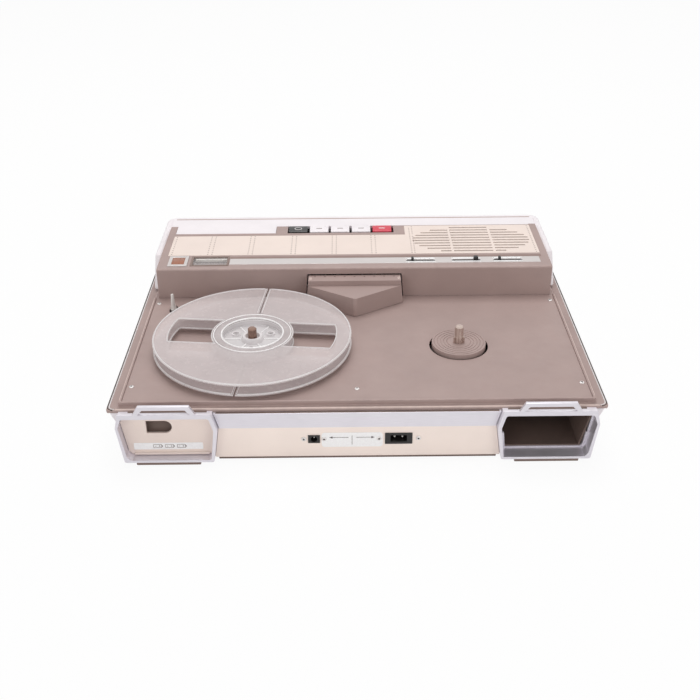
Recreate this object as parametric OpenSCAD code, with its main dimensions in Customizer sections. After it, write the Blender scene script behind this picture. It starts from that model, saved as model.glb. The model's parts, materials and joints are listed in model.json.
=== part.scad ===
// Portable reel to reel tape recorder, lying flat with its lid taken off.
// Millimetres. X to the right, Y to the rear, Z up.
// The origin is the centre of the footprint, on the table.

/* [Case] */
// Width across the rim that the lid sits on
case_w = 415; // [405:1:440]
// How far the rim stands out over the tub's top edge
rim_over = 3.5; // [2:0.5:6]
// How far the waist line is set in from the rim
waist_in = 8; // [6:0.5:10]
// How far the base is set in from the rim
base_in = 12.5; // [10:0.5:14]
// Depth of the band behind the grille panel
rear_d = 24; // [22:0.5:40]
// Height of the tub
tub_h = 44; // [43:0.5:50]
// Height of the waist line above the base
waist_h = 34.5; // [30:0.5:38]
// Wall of the tub
wall = 3; // [2.5:0.1:3.4]
// Bevel along the bottom edges of the tub
edge = 3; // [2:0.5:4]
// Height of the foot strips
foot_h = 3; // [2:0.5:6]
// Length of a foot strip
foot_w = 54; // [40:1:60]
// Depth of a foot strip
foot_d = 14; // [10:1:20]
// How far a foot strip is set in from the base's side
foot_in = 9.5; // [5:0.5:20]

/* [Deck] */
// Width of the rim ledge at the sides of the deck floor
side_ledge_w = 12; // [10:0.5:14]
// Width of the rim ledge in front of the deck floor
front_ledge_w = 7.5; // [6:0.5:12]
// Thickness of the rim ledge
ledge_t = 2.5; // [2:0.1:3]
// Height of the deck floor above the ledge
deck_rise = 3.5; // [3:0.1:5]
// Thickness of the deck plate
plate_t = 1.8; // [1.5:0.1:2]
// Width of the shelf that carries the deck plate
shelf_w = 8; // [6:0.5:10]
// Thickness of that shelf
shelf_t = 1.2; // [1:0.1:1.2]
// Width of the raised lip round the deck plate
lip_w = 2.3; // [1.5:0.1:3]
// Height of the lip above the deck floor
lip_h = 1.2; // [0.6:0.1:2]
// Radius of a screw head
screw_head_r = 2.6; // [2:0.1:3]
// Height of a screw head
screw_head_h = 1.2; // [0.8:0.1:1.6]
// Radius of a screw shank
screw_r = 1.5; // [1.2:0.1:1.6]

/* [Reels] */
// Distance between the two spindles
spindle_gap = 185.6; // [182:0.2:190]
// Distance from the front wall back to the spindles
spindle_back = 97; // [95:0.5:104]
// Diameter of a reel
reel_d = 177.8; // [165:0.2:180]
// Thickness of a reel flange
flange_t = 1.5; // [1.2:0.1:1.8]
// Space between the flanges
flange_gap = 8.2; // [7.5:0.1:8.6]
// Diameter of the reel hub
hub_d = 72; // [64:1:76]
// Diameter of the well in the hub
hub_well_d = 54; // [44:1:58]
// Turn of the reel at rest
reel_turn = -6; // [-30:1:30]
// Half height of a window in a flange
window_half = 21; // [15:1:24]
// Outer radius of a window
window_r = 75; // [68:1:78]
// Width of the threading slit
slit_w = 1.4; // [1:0.1:3]
// Diameter of a turntable
turntable_d = 48.4; // [44:0.2:52]
// Height of the turntable above the deck floor
turntable_h = 3.7; // [3:0.1:4.2]
// Gap between a turntable and the well in the deck
well_gap = 2.3; // [1:0.1:4]
// Diameter of a spindle
spindle_d = 7.8; // [7.4:0.1:8.2]
// Height of a spindle's tip above the deck floor
spindle_h = 20; // [18:0.5:24]
// Reach of a spindle's splines beyond its wall
spline_reach = 1.5; // [1:0.1:2]
// Width of a spline
spline_w = 1.4; // [1:0.1:2]
// Height of a spline above the turntable
spline_h = 6; // [4:0.5:8]

/* [Control block] */
// How far the control block's sides are set in from the deck floor's edge
block_in = 2.5; // [1:0.1:4]
// Height of the block's top above the deck floor
block_h = 31; // [30:0.5:36]
// Distance from the spindles back to the block's front wall
block_back = 99.5; // [98:0.5:104]
// Wall of the control housing
block_wall = 2.5; // [2:0.1:3]
// Thickness of the housing's top
block_top_t = 3; // [2.8:0.1:3.5]
// Width of the housing's side rails
rail_w = 7; // [6:0.5:8]
// Depth of an inlay in the housing's top
inlay = 2; // [1.5:0.1:2]
// Height that a panel stands above the housing
proud = 0.2; // [0.1:0.1:0.5]
// Distance from the block's front to the grille panel
panel_back = 31.5; // [31:0.5:33]
// Depth of the grille panel
panel_d = 48; // [46:0.5:50]
// Depth of the panel's wing over the speaker
wing_d = 71; // [69.5:0.5:73]
// Distance from the grille's centre to that wing's left edge
wing_half = 67; // [65:0.5:70]
// Distance from the block's front to the control strip
strip_back = 10; // [9:0.5:11]
// Depth of the control strip
strip_d = 13; // [11:0.5:14]
// Distance from the block's right side to the control strip
strip_in = 9.5; // [7.5:0.5:14]
// Number of slot rows in the grille
grille_rows = 10; // [6:1:10]
// Distance between slot rows
grille_pitch = 6.5; // [6:0.1:6.6]
// Height of a slot
grille_slot = 2.6; // [1.5:0.1:3]
// Half length of the grille's oval
grille_half_w = 60; // [50:1:61]
// Half depth of the grille's oval
grille_half_d = 33; // [32.5:0.5:34]
// Width of the two bars that cross the slots
grille_bar = 2.5; // [2:0.1:4]
// Distance between those bars
grille_bar_gap = 42; // [30:1:50]
// Distance from the block's right side to the grille's centre
grille_in = 72.5; // [71:0.5:76]

/* [Controls] */
// Number of piano keys
key_count = 5; // [5:1:5]
// Distance between keys
key_pitch = 22; // [21:0.5:22]
// Gap between two keys
key_gap = 2.5; // [1.5:0.1:4]
// Depth of a key cap
key_d = 14.5; // [13:0.5:15]
// Height of a key cap above the block
key_rise = 1; // [0.5:0.1:2]
// Radius of the key shaft
key_shaft_r = 2; // [1.5:0.1:2.5]
// Length of a key surround's end piece
key_end_w = 11; // [10:0.5:12]
// Length of a slide control's slot
slider_len = 27; // [24:1:27]
// Width of a slide control's slot
slider_slot = 2.8; // [2.6:0.1:3.2]
// Height of a slide control's thumb piece
thumb_h = 2.9; // [2:0.1:6]
// Width of a slide control's thumb piece
thumb_w = 2.4; // [1.5:0.1:6]
// Height of the speed switch's knob
knob_h = 3.4; // [2:0.1:6]
// Width of the speed switch's knob
knob_w = 4.4; // [3:0.1:8]
// Distance from the control strip's right end to the volume slot
volume_in = 131.5; // [128:0.5:134]
// Distance from the control strip's right end to the speed switch slot
speed_in = 86.5; // [84:0.5:90]
// Distance from the control strip's right end to the tone slot
tone_in = 45.5; // [40:0.5:48]
// Width of the level meter's case
meter_w = 36; // [34:0.5:36]
// Distance from the indicator bezel to the level meter
meter_gap = 3.8; // [3:0.1:6]
// Depth of the level meter's case
meter_d = 20; // [18:0.5:20.5]
// Width of the indicator bezel
lamp_w = 19; // [17:0.5:20]
// Distance from the block's left side to the indicator bezel
lamp_in = 9.7; // [8:0.1:12]

/* [Tape path] */
// Width of the head cover
cover_w = 94; // [90:1:96]
// Reach of the head cover in front of the block
cover_reach = 43.7; // [40:0.1:46]
// Height of the head cover's nose above the deck floor
cover_h = 18.4; // [17:0.1:19]
// Depth of the cover's sides in front of the block
cover_side_d = 13.9; // [13.5:0.1:16]
// Slope of the cover's front, from level
cover_slope = 86.5; // [82:0.5:88]
// Wall of the head cover
cover_t = 1.5; // [1.2:0.1:1.6]
// Height of the cover's rear bar above the deck floor
cover_bar_h = 23.4; // [23:0.1:24]
// Radius of the capstan
capstan_r = 2.5; // [2:0.1:3]
// Distance from the middle of the case to the capstan
capstan_x = 24; // [22:0.5:26]
// Distance from the block's front back to the tape
tape_back = 10.5; // [10:0.5:12]
// Radius of the pinch roller
pinch_r = 8; // [7:0.1:8.5]
// Radius of the flywheel
flywheel_r = 38; // [32:0.5:42]
// Radius of the motor pulley
pulley_r = 5; // [4:0.1:7]
// Radius of the motor
motor_r = 17; // [14:0.5:18]

/* [Front] */
// Depth of the compartment frames
frame_d = 9; // [7:0.5:12]
// Distance between the two compartment frames at the base
frame_gap = 240; // [236:1:260]
// Depth of a frame's sleeve behind the front wall
sleeve_d = 6; // [6:0.5:12]
// How far a frame's inner side juts out at its nose
frame_nose = 4.5; // [3:0.5:5]
// Width of a frame's side and bottom bars
frame_bar = 2.2; // [1.8:0.1:2.8]
// Width of a frame's bar at its nose
nose_bar = 3.4; // [2.4:0.1:4]
// Height of the frames above the tub's top edge
frame_rise = 3.5; // [3:0.1:4.5]
// Width of a lid loop at its base
loop_w = 52; // [44:1:58]
// Height of a lid loop
loop_h = 7.9; // [7:0.1:10]
// Width of a lid loop's bar
loop_bar = 3.5; // [3:0.1:4.5]
// Depth of a lid loop from front to rear
loop_d = 3; // [2.5:0.1:4]
// Thickness of the frames' upright top lip
frame_lip = 1; // [0.8:0.1:1.5]
// Depth of the channel behind that lip
channel_d = 2; // [1:0.1:2.5]
// Thickness of the socket panel
panel_t = 1.5; // [1:0.1:2]
// Thickness of the front trim strip
trim_t = 2.5; // [2:0.1:3]
// Height of the front trim strip's lower edge above the base
trim_z = 29.5; // [28:0.5:33]
// Thickness of the battery door
door_t = 2.4; // [2:0.1:2.6]
// Width of the finger notch in the battery door
notch_w = 21.4; // [16:0.1:24]
// Height of the finger notch
notch_h = 12.2; // [10:0.1:13]
// Depth of the accessory compartment
tray_d = 105; // [80:1:150]
// Wall of the compartments' boxes
box_wall = 1.5; // [1.2:0.1:1.8]

/* [Handle] */
// Thickness of the handle's arms
handle_arm_t = 7; // [5:0.5:9]
// Thickness of the handle's grip
handle_t = 11; // [9:0.5:16]
// Height of the handle
handle_h = 29; // [24:0.1:29.2]
// Length of a handle's arm
handle_arm = 107; // [100:0.5:110]
// Gap between the handle and the case
handle_gap = 1; // [0.5:0.1:2]
// Travel of the handle
handle_travel = 30; // [20:1:32]

/* [Hidden] */
$fn = 64;
// Clearance between pieces that come apart
fit = 0.3;
// Clearance of a shaft in its bore
run = 0.05;

// Widths
tub_w = case_w - 2 * rim_over;
waist_w = case_w - 2 * waist_in;
base_w = case_w - 2 * base_in;
floor_w = case_w - 2 * side_ledge_w;
block_w = floor_w - 2 * block_in;
foot_x = base_w / 2 - foot_in - foot_w / 2;
foot_front = 0.6;
foot_rear = 8;

// Heights
z_tub = foot_h;
z_waist = z_tub + waist_h;
z_rim = z_tub + tub_h;
z_ledge = z_rim + ledge_t;
z_deck = z_ledge + deck_rise;
z_plate = z_deck - plate_t;
z_table = z_deck + turntable_h;
z_top = z_deck + block_h;
z_frame = z_rim + frame_rise;

// Places from front to rear
tub_d = spindle_back + block_back + panel_back + wing_d + rear_d;
total_d = frame_d + tub_d + handle_gap + handle_t;
y_face = -total_d / 2;
y_front = y_face + frame_d;
y_rear = y_front + tub_d;
y_spindle = y_front + spindle_back;
y_block = y_spindle + block_back;
y_floor = y_front + front_ledge_w;
y_panel = y_block + panel_back;
y_panel1 = y_panel + panel_d;
y_wing1 = y_panel + wing_d;
y_strip = y_block + strip_back;
y_tape = y_block + tape_back;
half_gap = spindle_gap / 2;
half_floor = floor_w / 2;
half_block = block_w / 2;

// Chassis plate and what stands on it
chassis_t = 2;
chassis_drop = 7.2;
z_chassis = z_plate - chassis_drop - chassis_t;
z_chassis1 = z_chassis + chassis_t;
post_r = 4;
head_plate_t = 1.5;
z_head0 = z_plate - 0.2 - head_plate_t;
z_head = z_head0 + head_plate_t;
head_half_w = 52;
head_front = 29.5;
head_rear = 30.5;
post_in = 6;
head_post_r = 3;
posts = [[-60, -60], [60, -60], [-105, 60], [105, 60]];
post_screw = [0, -72.5];
screw_inset = 4.5;
screw_len = 7;
deck_screw_ys = [y_spindle - 66, y_spindle + 87];

// Bearing bushes and shafts
spline_collar = 0.2;
journal_r = 2.5;
bush_r = 6;
bush_flange_r = 9;
bush_flange_t = 1;
bush_len = 14;
table_drop = 3;
belt_t = 1.2;
belt_w = 3;
belt_z = z_chassis1 + bush_flange_t + 0.8;
table_pulley_r = 12;
capstan_pulley_r = 7;

// Frames and compartments, on the right hand side
frame_in = frame_gap / 2;
frame_tip = frame_in - frame_nose;
frame_top_in = 3;
frame_top_x = waist_w / 2 - frame_top_in;
nose_h = 31;
z_nose = z_tub + nose_h;
mouth_drop = 0.8;
sleeve_t = 0.9;
sleeve_lip = 1.2;
sleeve_lip_t = 1;
frame_back = 1.5;
z_mouth = z_rim - mouth_drop;
frame_mid = frame_in + (frame_top_x - frame_in) / 2;
function frame_pts(i) = [
  [frame_in + i, z_tub + i], [base_w / 2 - i, z_tub + i], [waist_w / 2 - i, z_waist],
  [frame_top_x - i, z_frame - i], [frame_in + i, z_frame - i], [frame_tip + i, z_nose]];
// Opening of the frame and of the sleeve behind it, taken in by i and closed at z1
function mouth_pts(i, z1) = let(k = frame_bar + i) [
  [frame_in + k, z_tub + k], [base_w / 2 - k - edge, z_tub + k], [base_w / 2 - k, z_tub + k + edge],
  [waist_w / 2 - k, z_waist], [frame_top_x - k, z1], [frame_in + k, z1], [frame_tip + nose_bar + i, z_nose]];
z_sleeve = z_mouth - sleeve_t;
// Outside of the compartment behind the sleeve, taken in by i
box_in = wall + fit;
function box_pts(i) = [
  [box_x0 + i, box_z0 + i], [box_x1 - i, box_z0 + i], [waist_w / 2 - box_in - i, z_waist],
  [frame_top_x - box_in - i, z_mouth - i], [box_x0 + i, z_mouth - i], [frame_tip + nose_bar + i, z_nose]];
box_y = y_front + sleeve_d;
box_x0 = frame_in + frame_bar;
box_x1 = base_w / 2 - box_in - edge;
box_z0 = z_tub + wall;
cell_side = 2.5;
cell_wide = (box_x1 - box_x0 + 4 - 2 * box_wall - cell_side) / 4;
cell_high = (z_mouth - box_z0 - 2 * box_wall - cell_side) / 2;
cell_r = min(cell_wide, cell_high);
cell_len = 60;
cell_gap = 1;
cell_rows = 3;
box_d = cell_rows * (cell_len + cell_gap) + 12;

// Battery door
door_gap = 0.3;
door_back = 3.2;
door_y = y_front + sleeve_d - door_back - door_t;
door_lip = 2;
door_lip_h = 1.8;
door_lip_z = 0.5;
door_lip_in = 2;
notch_drop = 6.6;
notch_side = 6.9;
notch_x = frame_mid + notch_side;
tab_w = 3;
tab_t = 2;
tab_h = 16;

// Sockets and screws of the front panel
z_socket = z_tub + 17.5;
socket_flange = 0.8;
dc_x = -36.4;
dc_w = 10;
dc_h = 7.7;
dc_hole_r = 2.75;
ac_x = 34.4;
ac_w = 23;
ac_h = 11;
ac_hole_w = 13.7;
ac_hole_h = 6.5;
socket_depth = 14;
socket_back = 3;
socket_rim = 1;
pin_r = 1.2;
pin_gap = 6.6;
pin_len = 8;
panel_screw_xs = [-45, -28, 18, 51];

// Head cover, its hinge, its opening and the cut under it
head_cut_w = 84;
head_cut_d = 13;
arm_cut_w = 40;
arm_cut_d = 18;
opening_gap = 1.2;
z_lintel = z_deck + cover_bar_h + opening_gap;
cover_bar_d = 13.2;
cover_rear_gap = 0.3;
cover_draft = 5.4;
cover_pivot_y = y_block - 2.1;
cover_pivot_z = z_deck + cover_bar_h - 4.1;
cover_pin_r = 1.4;
cover_seat = 0.3;
hinge_x0 = 40.6;
hinge_x1 = 43;
hinge_r = 2.3;
hinge_z0 = z_deck + 3;
hinge_foot = 6;
hinge_t = 2.5;
hinge_over = 3;
cover_apex_y = y_block - cover_reach;
cover_corner_y = y_block - cover_side_d;
cover_turn = atan2(cover_corner_y - cover_apex_y, cover_w / 2);

// Pinch roller and its arm
pinch_pivot = [-2, -11.5];
pinch_rest = [24, -3];
pinch_post_r = 2;
pinch_arm_t = 2.2;
pinch_arm_w = 7;
pinch_z = z_head + 1.5;
roller_z = pinch_z + pinch_arm_t + fit;
roller_h = 8.6;
pinch_axle_r = 1.5;
arm_dir = [pinch_rest[0] - pinch_pivot[0], pinch_rest[1] - pinch_pivot[1]];
arm_len = norm(arm_dir);
arm_turn = atan2(arm_dir[1], arm_dir[0]);

// Heads and tape guides
head_h = 17;
erase_x = -23;
erase_w = 10;
record_w = 14;
head_d = 9;
guide_x = 42;
guide_r = 2.2;
guide_flange_r = 3.6;
guide_h = 13.4;
guide_foot = 6;
guide_cap = 1.4;

// Capstan, flywheel, motor and belts
capstan_h = 17.3;
flywheel_t = 7;
flywheel_z = z_tub + wall + 4;
fly_belt_z = flywheel_z + 2;
y_capstan = y_tape + capstan_r;
motor_x = -60;
motor_shaft_r = 1.5;
motor_gap = 2;
motor_z = flywheel_z + flywheel_t + motor_gap;

// Tape sensing lever
lever_in = 20;
lever_x = -half_floor + lever_in;
lever_y = y_spindle + 76;
lever_arm = 17;
lever_pin_r = 2.8;
lever_tip_r = 1.3;
lever_h = 16;
lever_swing = 4;
lever_t = 1.8;
lever_hub_r = 4;
lever_post_r = 2;
lever_z = z_plate - fit - lever_t;

// Slide controls and their bodies
stem_w = 3;
stem_gap = 0.4;
stem_t = slider_slot - 2 * stem_gap;
thumb_d = 4.5;
slider_body_h = 11;
slider_body_d = 10;
slider_over = 6;
slider_y = y_strip + strip_d / 2;
slider_z1 = z_top - block_top_t;
strip_x1 = half_block - strip_in;
volume_x = strip_x1 - volume_in;
speed_x = strip_x1 - speed_in;
tone_x = strip_x1 - tone_in;
volume_rest = volume_x + 5.5;
tone_rest = tone_x + 5.5;
speed_rest = speed_x + slider_len - 4;

// Indicator
lamp_y = y_strip - 3.5;
lamp_d = 22.5;
lamp_frame = 3.2;
lamp_rise = 1;
lamp_x0 = -half_block + lamp_in;
lamp_x1 = lamp_x0 + lamp_w;

// Level meter
meter_wall = 1.2;
meter_flange = 1;
meter_flange_t = 0.5;
meter_y = y_strip - 2;
meter_z0 = z_top - 13;
meter_scale_z = z_top - 5;
needle_len = 12;
needle_t = 0.6;
needle_w = 0.8;
needle_hub_r = 1.6;
needle_arbor_r = 0.6;
meter_x0 = lamp_x1 + meter_gap;
meter_x1 = meter_x0 + meter_w;
strip_gap = 1.5;
strip_x0 = meter_x1 + strip_gap;
needle_x = meter_x0 + meter_w / 2;
needle_y = meter_y + 4;

// Grille's place and the panel's wing
grille_x = half_block - grille_in;
wing_x = grille_x - wing_half;
wing_edge = 1.5;

// Keys, to the left of the wing
keys_x0 = wing_x - wing_edge - key_end_w - key_count * key_pitch;
key_w = key_pitch - key_gap;
key_front = 2;
key_strip_d = 6;
key_slot_d = key_d + key_front + 1.5;
y_slot = y_panel1 + key_strip_d;
y_slot1 = y_slot + key_slot_d;
key_y = y_slot + key_front;
key_shaft_y = key_y + key_d + 9;
key_shaft_z = z_top - 8;
key_hub_r = key_shaft_r + 2;
keys_x1 = keys_x0 + key_count * key_pitch;
slot_x0 = keys_x0 - key_end_w - 1;
slot_x1 = keys_x1 + key_end_w;
key_ear_t = 3;
key_names = ["rewind", "stop", "play", "forward", "record"];

// Grille and speaker
grille_y = y_panel + 34;
speaker_y = grille_y;
speaker_half_w = 60;
speaker_hole_r = 29;
speaker_hole_half = 26;
speaker_flange_t = 2;
speaker_flange_over = 4;
speaker_cup_h = 24;
speaker_magnet_r = 20;
speaker_magnet_h = 9;
speaker_skin = 1.2;
cone_h = 14;
cone_r = 9;

// Housing rails, handle arms and their pins
rail_over = 2.5;
y_rails = y_wing1 + rail_over;
handle_arm_x = half_block + handle_gap;
half_handle = handle_arm_x + handle_arm_t;
handle_drop = 3;
handle_z = z_top - handle_drop - handle_h;
handle_y1 = y_rear + handle_gap + handle_t;
handle_y0 = handle_y1 - handle_t - handle_arm;
handle_pin_r = 2.4;
handle_pin_head = 4;
handle_pin_y = handle_y0 + 34;
handle_pin_z = handle_z + handle_h / 2;
handle_slant = 22;

// Circuit board and transformer
board_x0 = box_x0 + 4;
board_x1 = box_x1 - 4;
board_y0 = y_spindle + 20;
board_len = 165;
board_z = z_tub + wall + 12;
board_t = 1.6;
board_post_r = 3;
board_inset = 6;
trafo_x0 = -box_x1 + 10;
trafo_w = 46;
trafo_y0 = y_spindle + 112;
trafo_d = 40;
trafo_h = 34;
trafo_foot_h = 3;
trafo_foot = 6;

// Colours
white = [0.93, 0.92, 0.9];
taupe = [0.66, 0.59, 0.55];
dark_taupe = [0.55, 0.47, 0.44];
cream = [0.92, 0.87, 0.79];
silver = [0.85, 0.85, 0.86];
steel = [0.72, 0.72, 0.73];
brass = [0.78, 0.65, 0.35];
black = [0.12, 0.12, 0.12];
red = [0.84, 0.2, 0.27];
amber = [0.68, 0.4, 0.24];
clear = [0.86, 0.83, 0.82, 0.5];
green = [0.22, 0.36, 0.24];
brown = [0.34, 0.26, 0.22];

// Shared shapes
module box(x, y, z)
  translate([x[0], y[0], z[0]])
    cube([x[1] - x[0], y[1] - y[0], z[1] - z[0]]);

module prism_y(points, y)
  translate([0, y[1], 0])
    rotate([90, 0, 0])
      linear_extrude(y[1] - y[0])
        polygon(points);

module prism_x(points, x)
  translate([x[0], 0, 0])
    rotate([90, 0, 90])
      linear_extrude(x[1] - x[0])
        polygon(points);

module rod_x(r, x, y, z)
  translate([x[0], y, z])
    rotate([0, 90, 0])
      cylinder(r = r, h = x[1] - x[0]);

module rod_y(r, x, y, z)
  translate([x, y[1], z])
    rotate([90, 0, 0])
      cylinder(r = r, h = y[1] - y[0]);

module rod_z(r, x, y, z)
  translate([x, y, z[0]])
    cylinder(r = r, h = z[1] - z[0]);

module both_sides() {
  children();
  mirror([1, 0, 0]) children();
}

// Round ended slot along X, cut through z
module slot_x(half, r, x, y, z) {
  box([x - half, x + half], [y - r, y + r], z);
  rod_z(r, x - half, y, z);
  rod_z(r, x + half, y, z);
}

// Section of the tub, taken in by i
function tub_pts(i, z1) = let(b = base_w / 2 - i, m = waist_w / 2 - i, t = tub_w / 2 - i) [
  [-(b - edge), z_tub + i], [b - edge, z_tub + i], [b, z_tub + i + edge], [m, z_waist],
  [t, z1], [-t, z1], [-m, z_waist], [-b, z_tub + i + edge]];

module socket_hole(x, w, h, gap)
  box([x - w / 2 - gap, x + w / 2 + gap], [y_front - trim_t - 1, y_front + wall + 1],
    [z_socket - h / 2 - gap, z_socket + h / 2 + gap]);

module panel_screw_holes()
  for (x = panel_screw_xs)
    rod_y(screw_r + run, x, [y_front - trim_t - 1, y_front + wall + 1], z_socket);

dc_body_w = dc_w - 2 * socket_rim;
dc_body_h = dc_h - 2 * socket_rim;
ac_body_w = ac_w - 2 * socket_rim;
ac_body_h = ac_h - 2 * socket_rim;

module case_tub()
  color(white)
    difference() {
      prism_y(tub_pts(0, z_rim), [y_front, y_rear]);
      prism_y(tub_pts(wall, z_rim + 1), [y_front + wall, y_rear - wall]);
      both_sides() prism_y(mouth_pts(-sleeve_t, z_mouth), [y_front - 1, y_front + sleeve_d]);
      socket_hole(dc_x, dc_body_w, dc_body_h, fit);
      socket_hole(ac_x, ac_body_w, ac_body_h, fit);
      panel_screw_holes();
    }

module feet()
  color(dark_taupe)
    both_sides()
      for (y = [y_face + foot_front, y_rear - foot_d - foot_rear])
        box([foot_x - foot_w / 2, foot_x + foot_w / 2], [y, y + foot_d], [0, z_tub]);

// Panel between the frames: half width at height z follows the frames' inner sides
function frame_side(z) = frame_tip + frame_nose *
  (z < z_nose ? (z_nose - z) / (z_nose - z_tub) : (z - z_nose) / (z_frame - z_nose));
z_trim0 = z_tub + trim_z;

module between_frames(z0, z1, t) {
  a = frame_side(z0) - fit;
  b = frame_side(z1) - fit;
  n = frame_tip - fit;
  across = (z0 < z_nose && z1 > z_nose);
  right = across ? [[a, z0], [n, z_nose], [b, z1]] : [[a, z0], [b, z1]];
  left = across ? [[-b, z1], [-n, z_nose], [-a, z0]] : [[-b, z1], [-a, z0]];
  prism_y(concat(right, left), [y_front - t, y_front]);
}

module front_panel()
  color(cream)
    difference() {
      between_frames(z_tub, z_trim0, panel_t);
      socket_hole(dc_x, dc_body_w, dc_body_h, fit);
      socket_hole(ac_x, ac_body_w, ac_body_h, fit);
      panel_screw_holes();
    }

module front_trim()
  color(silver)
    between_frames(z_trim0, z_rim, trim_t);

// Six sided frame with its lid loop, and a sleeve through the front wall
module lid_frame() {
  lean = 5;
  loop_half = loop_w / 2;
  top = z_frame + loop_h;
  y1 = y_front + sleeve_d;
  difference() {
    union() {
      prism_y(frame_pts(0), [y_face, y_front]);
      prism_y(mouth_pts(-sleeve_t, z_mouth), [y_front - frame_back, y1]);
    }
    prism_y(mouth_pts(0, z_mouth), [y_face - 1, y_front - frame_back]);
    prism_y(mouth_pts(0, z_sleeve), [y_face - 1, y1 - sleeve_lip_t]);
    prism_y(mouth_pts(sleeve_lip, z_sleeve - sleeve_lip), [y_face - 1, y1 + 1]);
    box([0, case_w], [y_face + frame_lip, y_front + 1], [z_frame - channel_d, z_frame + 1]);
  }
  difference() {
    prism_y([[frame_mid - loop_half, z_frame - 0.5], [frame_mid + loop_half, z_frame - 0.5],
      [frame_mid + loop_half - lean, top], [frame_mid - loop_half + lean, top]],
      [y_face, y_face + loop_d]);
    prism_y([[frame_mid - loop_half + loop_bar + 1, z_frame], [frame_mid + loop_half - loop_bar - 1, z_frame],
      [frame_mid + loop_half - lean - loop_bar, top - loop_bar],
      [frame_mid - loop_half + lean + loop_bar, top - loop_bar]],
      [y_face - 1, y_face + loop_d + 1]);
  }
}

module left_frame()
  color(silver)
    mirror([1, 0, 0]) lid_frame();

// The right frame has a tab at each side of its sleeve's end
module right_frame() {
  y1 = y_front + sleeve_d;
  z0 = z_tub + frame_bar;
  inner = frame_bar + tab_w;
  color(silver) {
    lid_frame();
    difference() {
      intersection() {
        prism_y(mouth_pts(-sleeve_t / 2, z_sleeve), [y1 - tab_t, y1]);
        box([frame_tip, waist_w / 2], [y1 - tab_t, y1], [z0, z0 + tab_h]);
      }
      prism_y([[frame_in + inner, z_tub], [base_w / 2 - inner, z_tub], [waist_w / 2 - inner, z_waist],
        [frame_tip + nose_bar + tab_w, z_waist], [frame_tip + nose_bar + tab_w, z_nose]],
        [y1 - tab_t - 1, y1 + 1]);
    }
  }
}

module battery_door() {
  y1 = door_y + door_t;
  notch_z = z_sleeve - notch_drop - notch_h / 2;
  half = notch_w / 2 - notch_h / 2;
  lip_z = z_tub + frame_bar + door_gap + door_lip_z;
  lip_side = door_gap + door_lip_in;
  color(cream)
    mirror([1, 0, 0]) {
      difference() {
        prism_y(mouth_pts(door_gap, z_sleeve - door_gap), [door_y, y1]);
        box([notch_x - half, notch_x + notch_w / 2], [door_y - 1, y1 + 1],
          [notch_z - notch_h / 2, notch_z + notch_h / 2]);
        rod_y(notch_h / 2, notch_x - half, [door_y - 1, y1 + 1], notch_z);
      }
      box([frame_in + frame_bar + lip_side, base_w / 2 - frame_bar - edge - lip_side],
        [door_y - door_lip, door_y], [lip_z, lip_z + door_lip_h]);
    }
}

// Open fronted box behind a frame, d deep
module compartment(d)
  difference() {
    prism_y(box_pts(0), [box_y, box_y + d]);
    prism_y(box_pts(box_wall), [box_y - 1, box_y + d - box_wall]);
  }

module battery_box()
  color(black)
    mirror([1, 0, 0]) compartment(box_d);

module battery_cells() {
  mid = (box_x0 + box_x1) / 2;
  y0 = box_y + box_d - box_wall - cell_rows * (cell_len + cell_gap);
  z0 = box_z0 + box_wall + cell_r + run;
  color(steel)
    mirror([1, 0, 0])
      for (s = [-1, 1], i = [0 : cell_rows - 1])
        rod_y(cell_r, mid + s * (cell_r + fit), [y0 + i * (cell_len + cell_gap),
          y0 + i * (cell_len + cell_gap) + cell_len], z0);
}

module accessory_box()
  color(brown)
    compartment(tray_d);

// Socket: flange on the panel and a body through the wall
module socket_body(x, w, h, body_w, body_h) {
  box([x - w / 2, x + w / 2], [y_front - panel_t - socket_flange, y_front - panel_t],
    [z_socket - h / 2, z_socket + h / 2]);
  box([x - body_w / 2, x + body_w / 2], [y_front - panel_t, y_front + socket_depth + socket_back],
    [z_socket - body_h / 2, z_socket + body_h / 2]);
}

module dc_jack()
  color(black)
    difference() {
      socket_body(dc_x, dc_w, dc_h, dc_body_w, dc_body_h);
      rod_y(dc_hole_r, dc_x, [y_front - panel_t - socket_flange - 1, y_front + socket_depth], z_socket);
    }

module ac_inlet()
  color(black)
    difference() {
      socket_body(ac_x, ac_w, ac_h, ac_body_w, ac_body_h);
      box([ac_x - ac_hole_w / 2, ac_x + ac_hole_w / 2],
        [y_front - panel_t - socket_flange - 1, y_front + socket_depth],
        [z_socket - ac_hole_h / 2, z_socket + ac_hole_h / 2]);
    }

module socket_pins()
  color(brass) {
    for (x = [ac_x - pin_gap / 2, ac_x + pin_gap / 2])
      rod_y(pin_r, x, [y_front + socket_depth - pin_len, y_front + socket_depth], z_socket);
    rod_y(pin_r, dc_x, [y_front + socket_depth - pin_len, y_front + socket_depth], z_socket);
  }

deck_screw_x = half_floor - screw_inset;
function deck_screws() = concat([for (s = [-1, 1], y = deck_screw_ys) [s * deck_screw_x, y]],
  [[post_screw[0], y_spindle + post_screw[1]]]);

module screws()
  color(steel) {
    for (x = panel_screw_xs) {
      rod_y(screw_head_r, x, [y_front - panel_t - screw_head_h, y_front - panel_t], z_socket);
      rod_y(screw_r, x, [y_front - panel_t, y_front - panel_t + screw_len], z_socket);
    }
    for (p = deck_screws()) {
      rod_z(screw_head_r, p[0], p[1], [z_deck, z_deck + screw_head_h]);
      rod_z(screw_r, p[0], p[1], [z_deck - screw_len + plate_t, z_deck]);
    }
  }

module deck_screw_holes(z)
  for (p = deck_screws())
    rod_z(screw_r + run, p[0], p[1], z);

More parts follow.
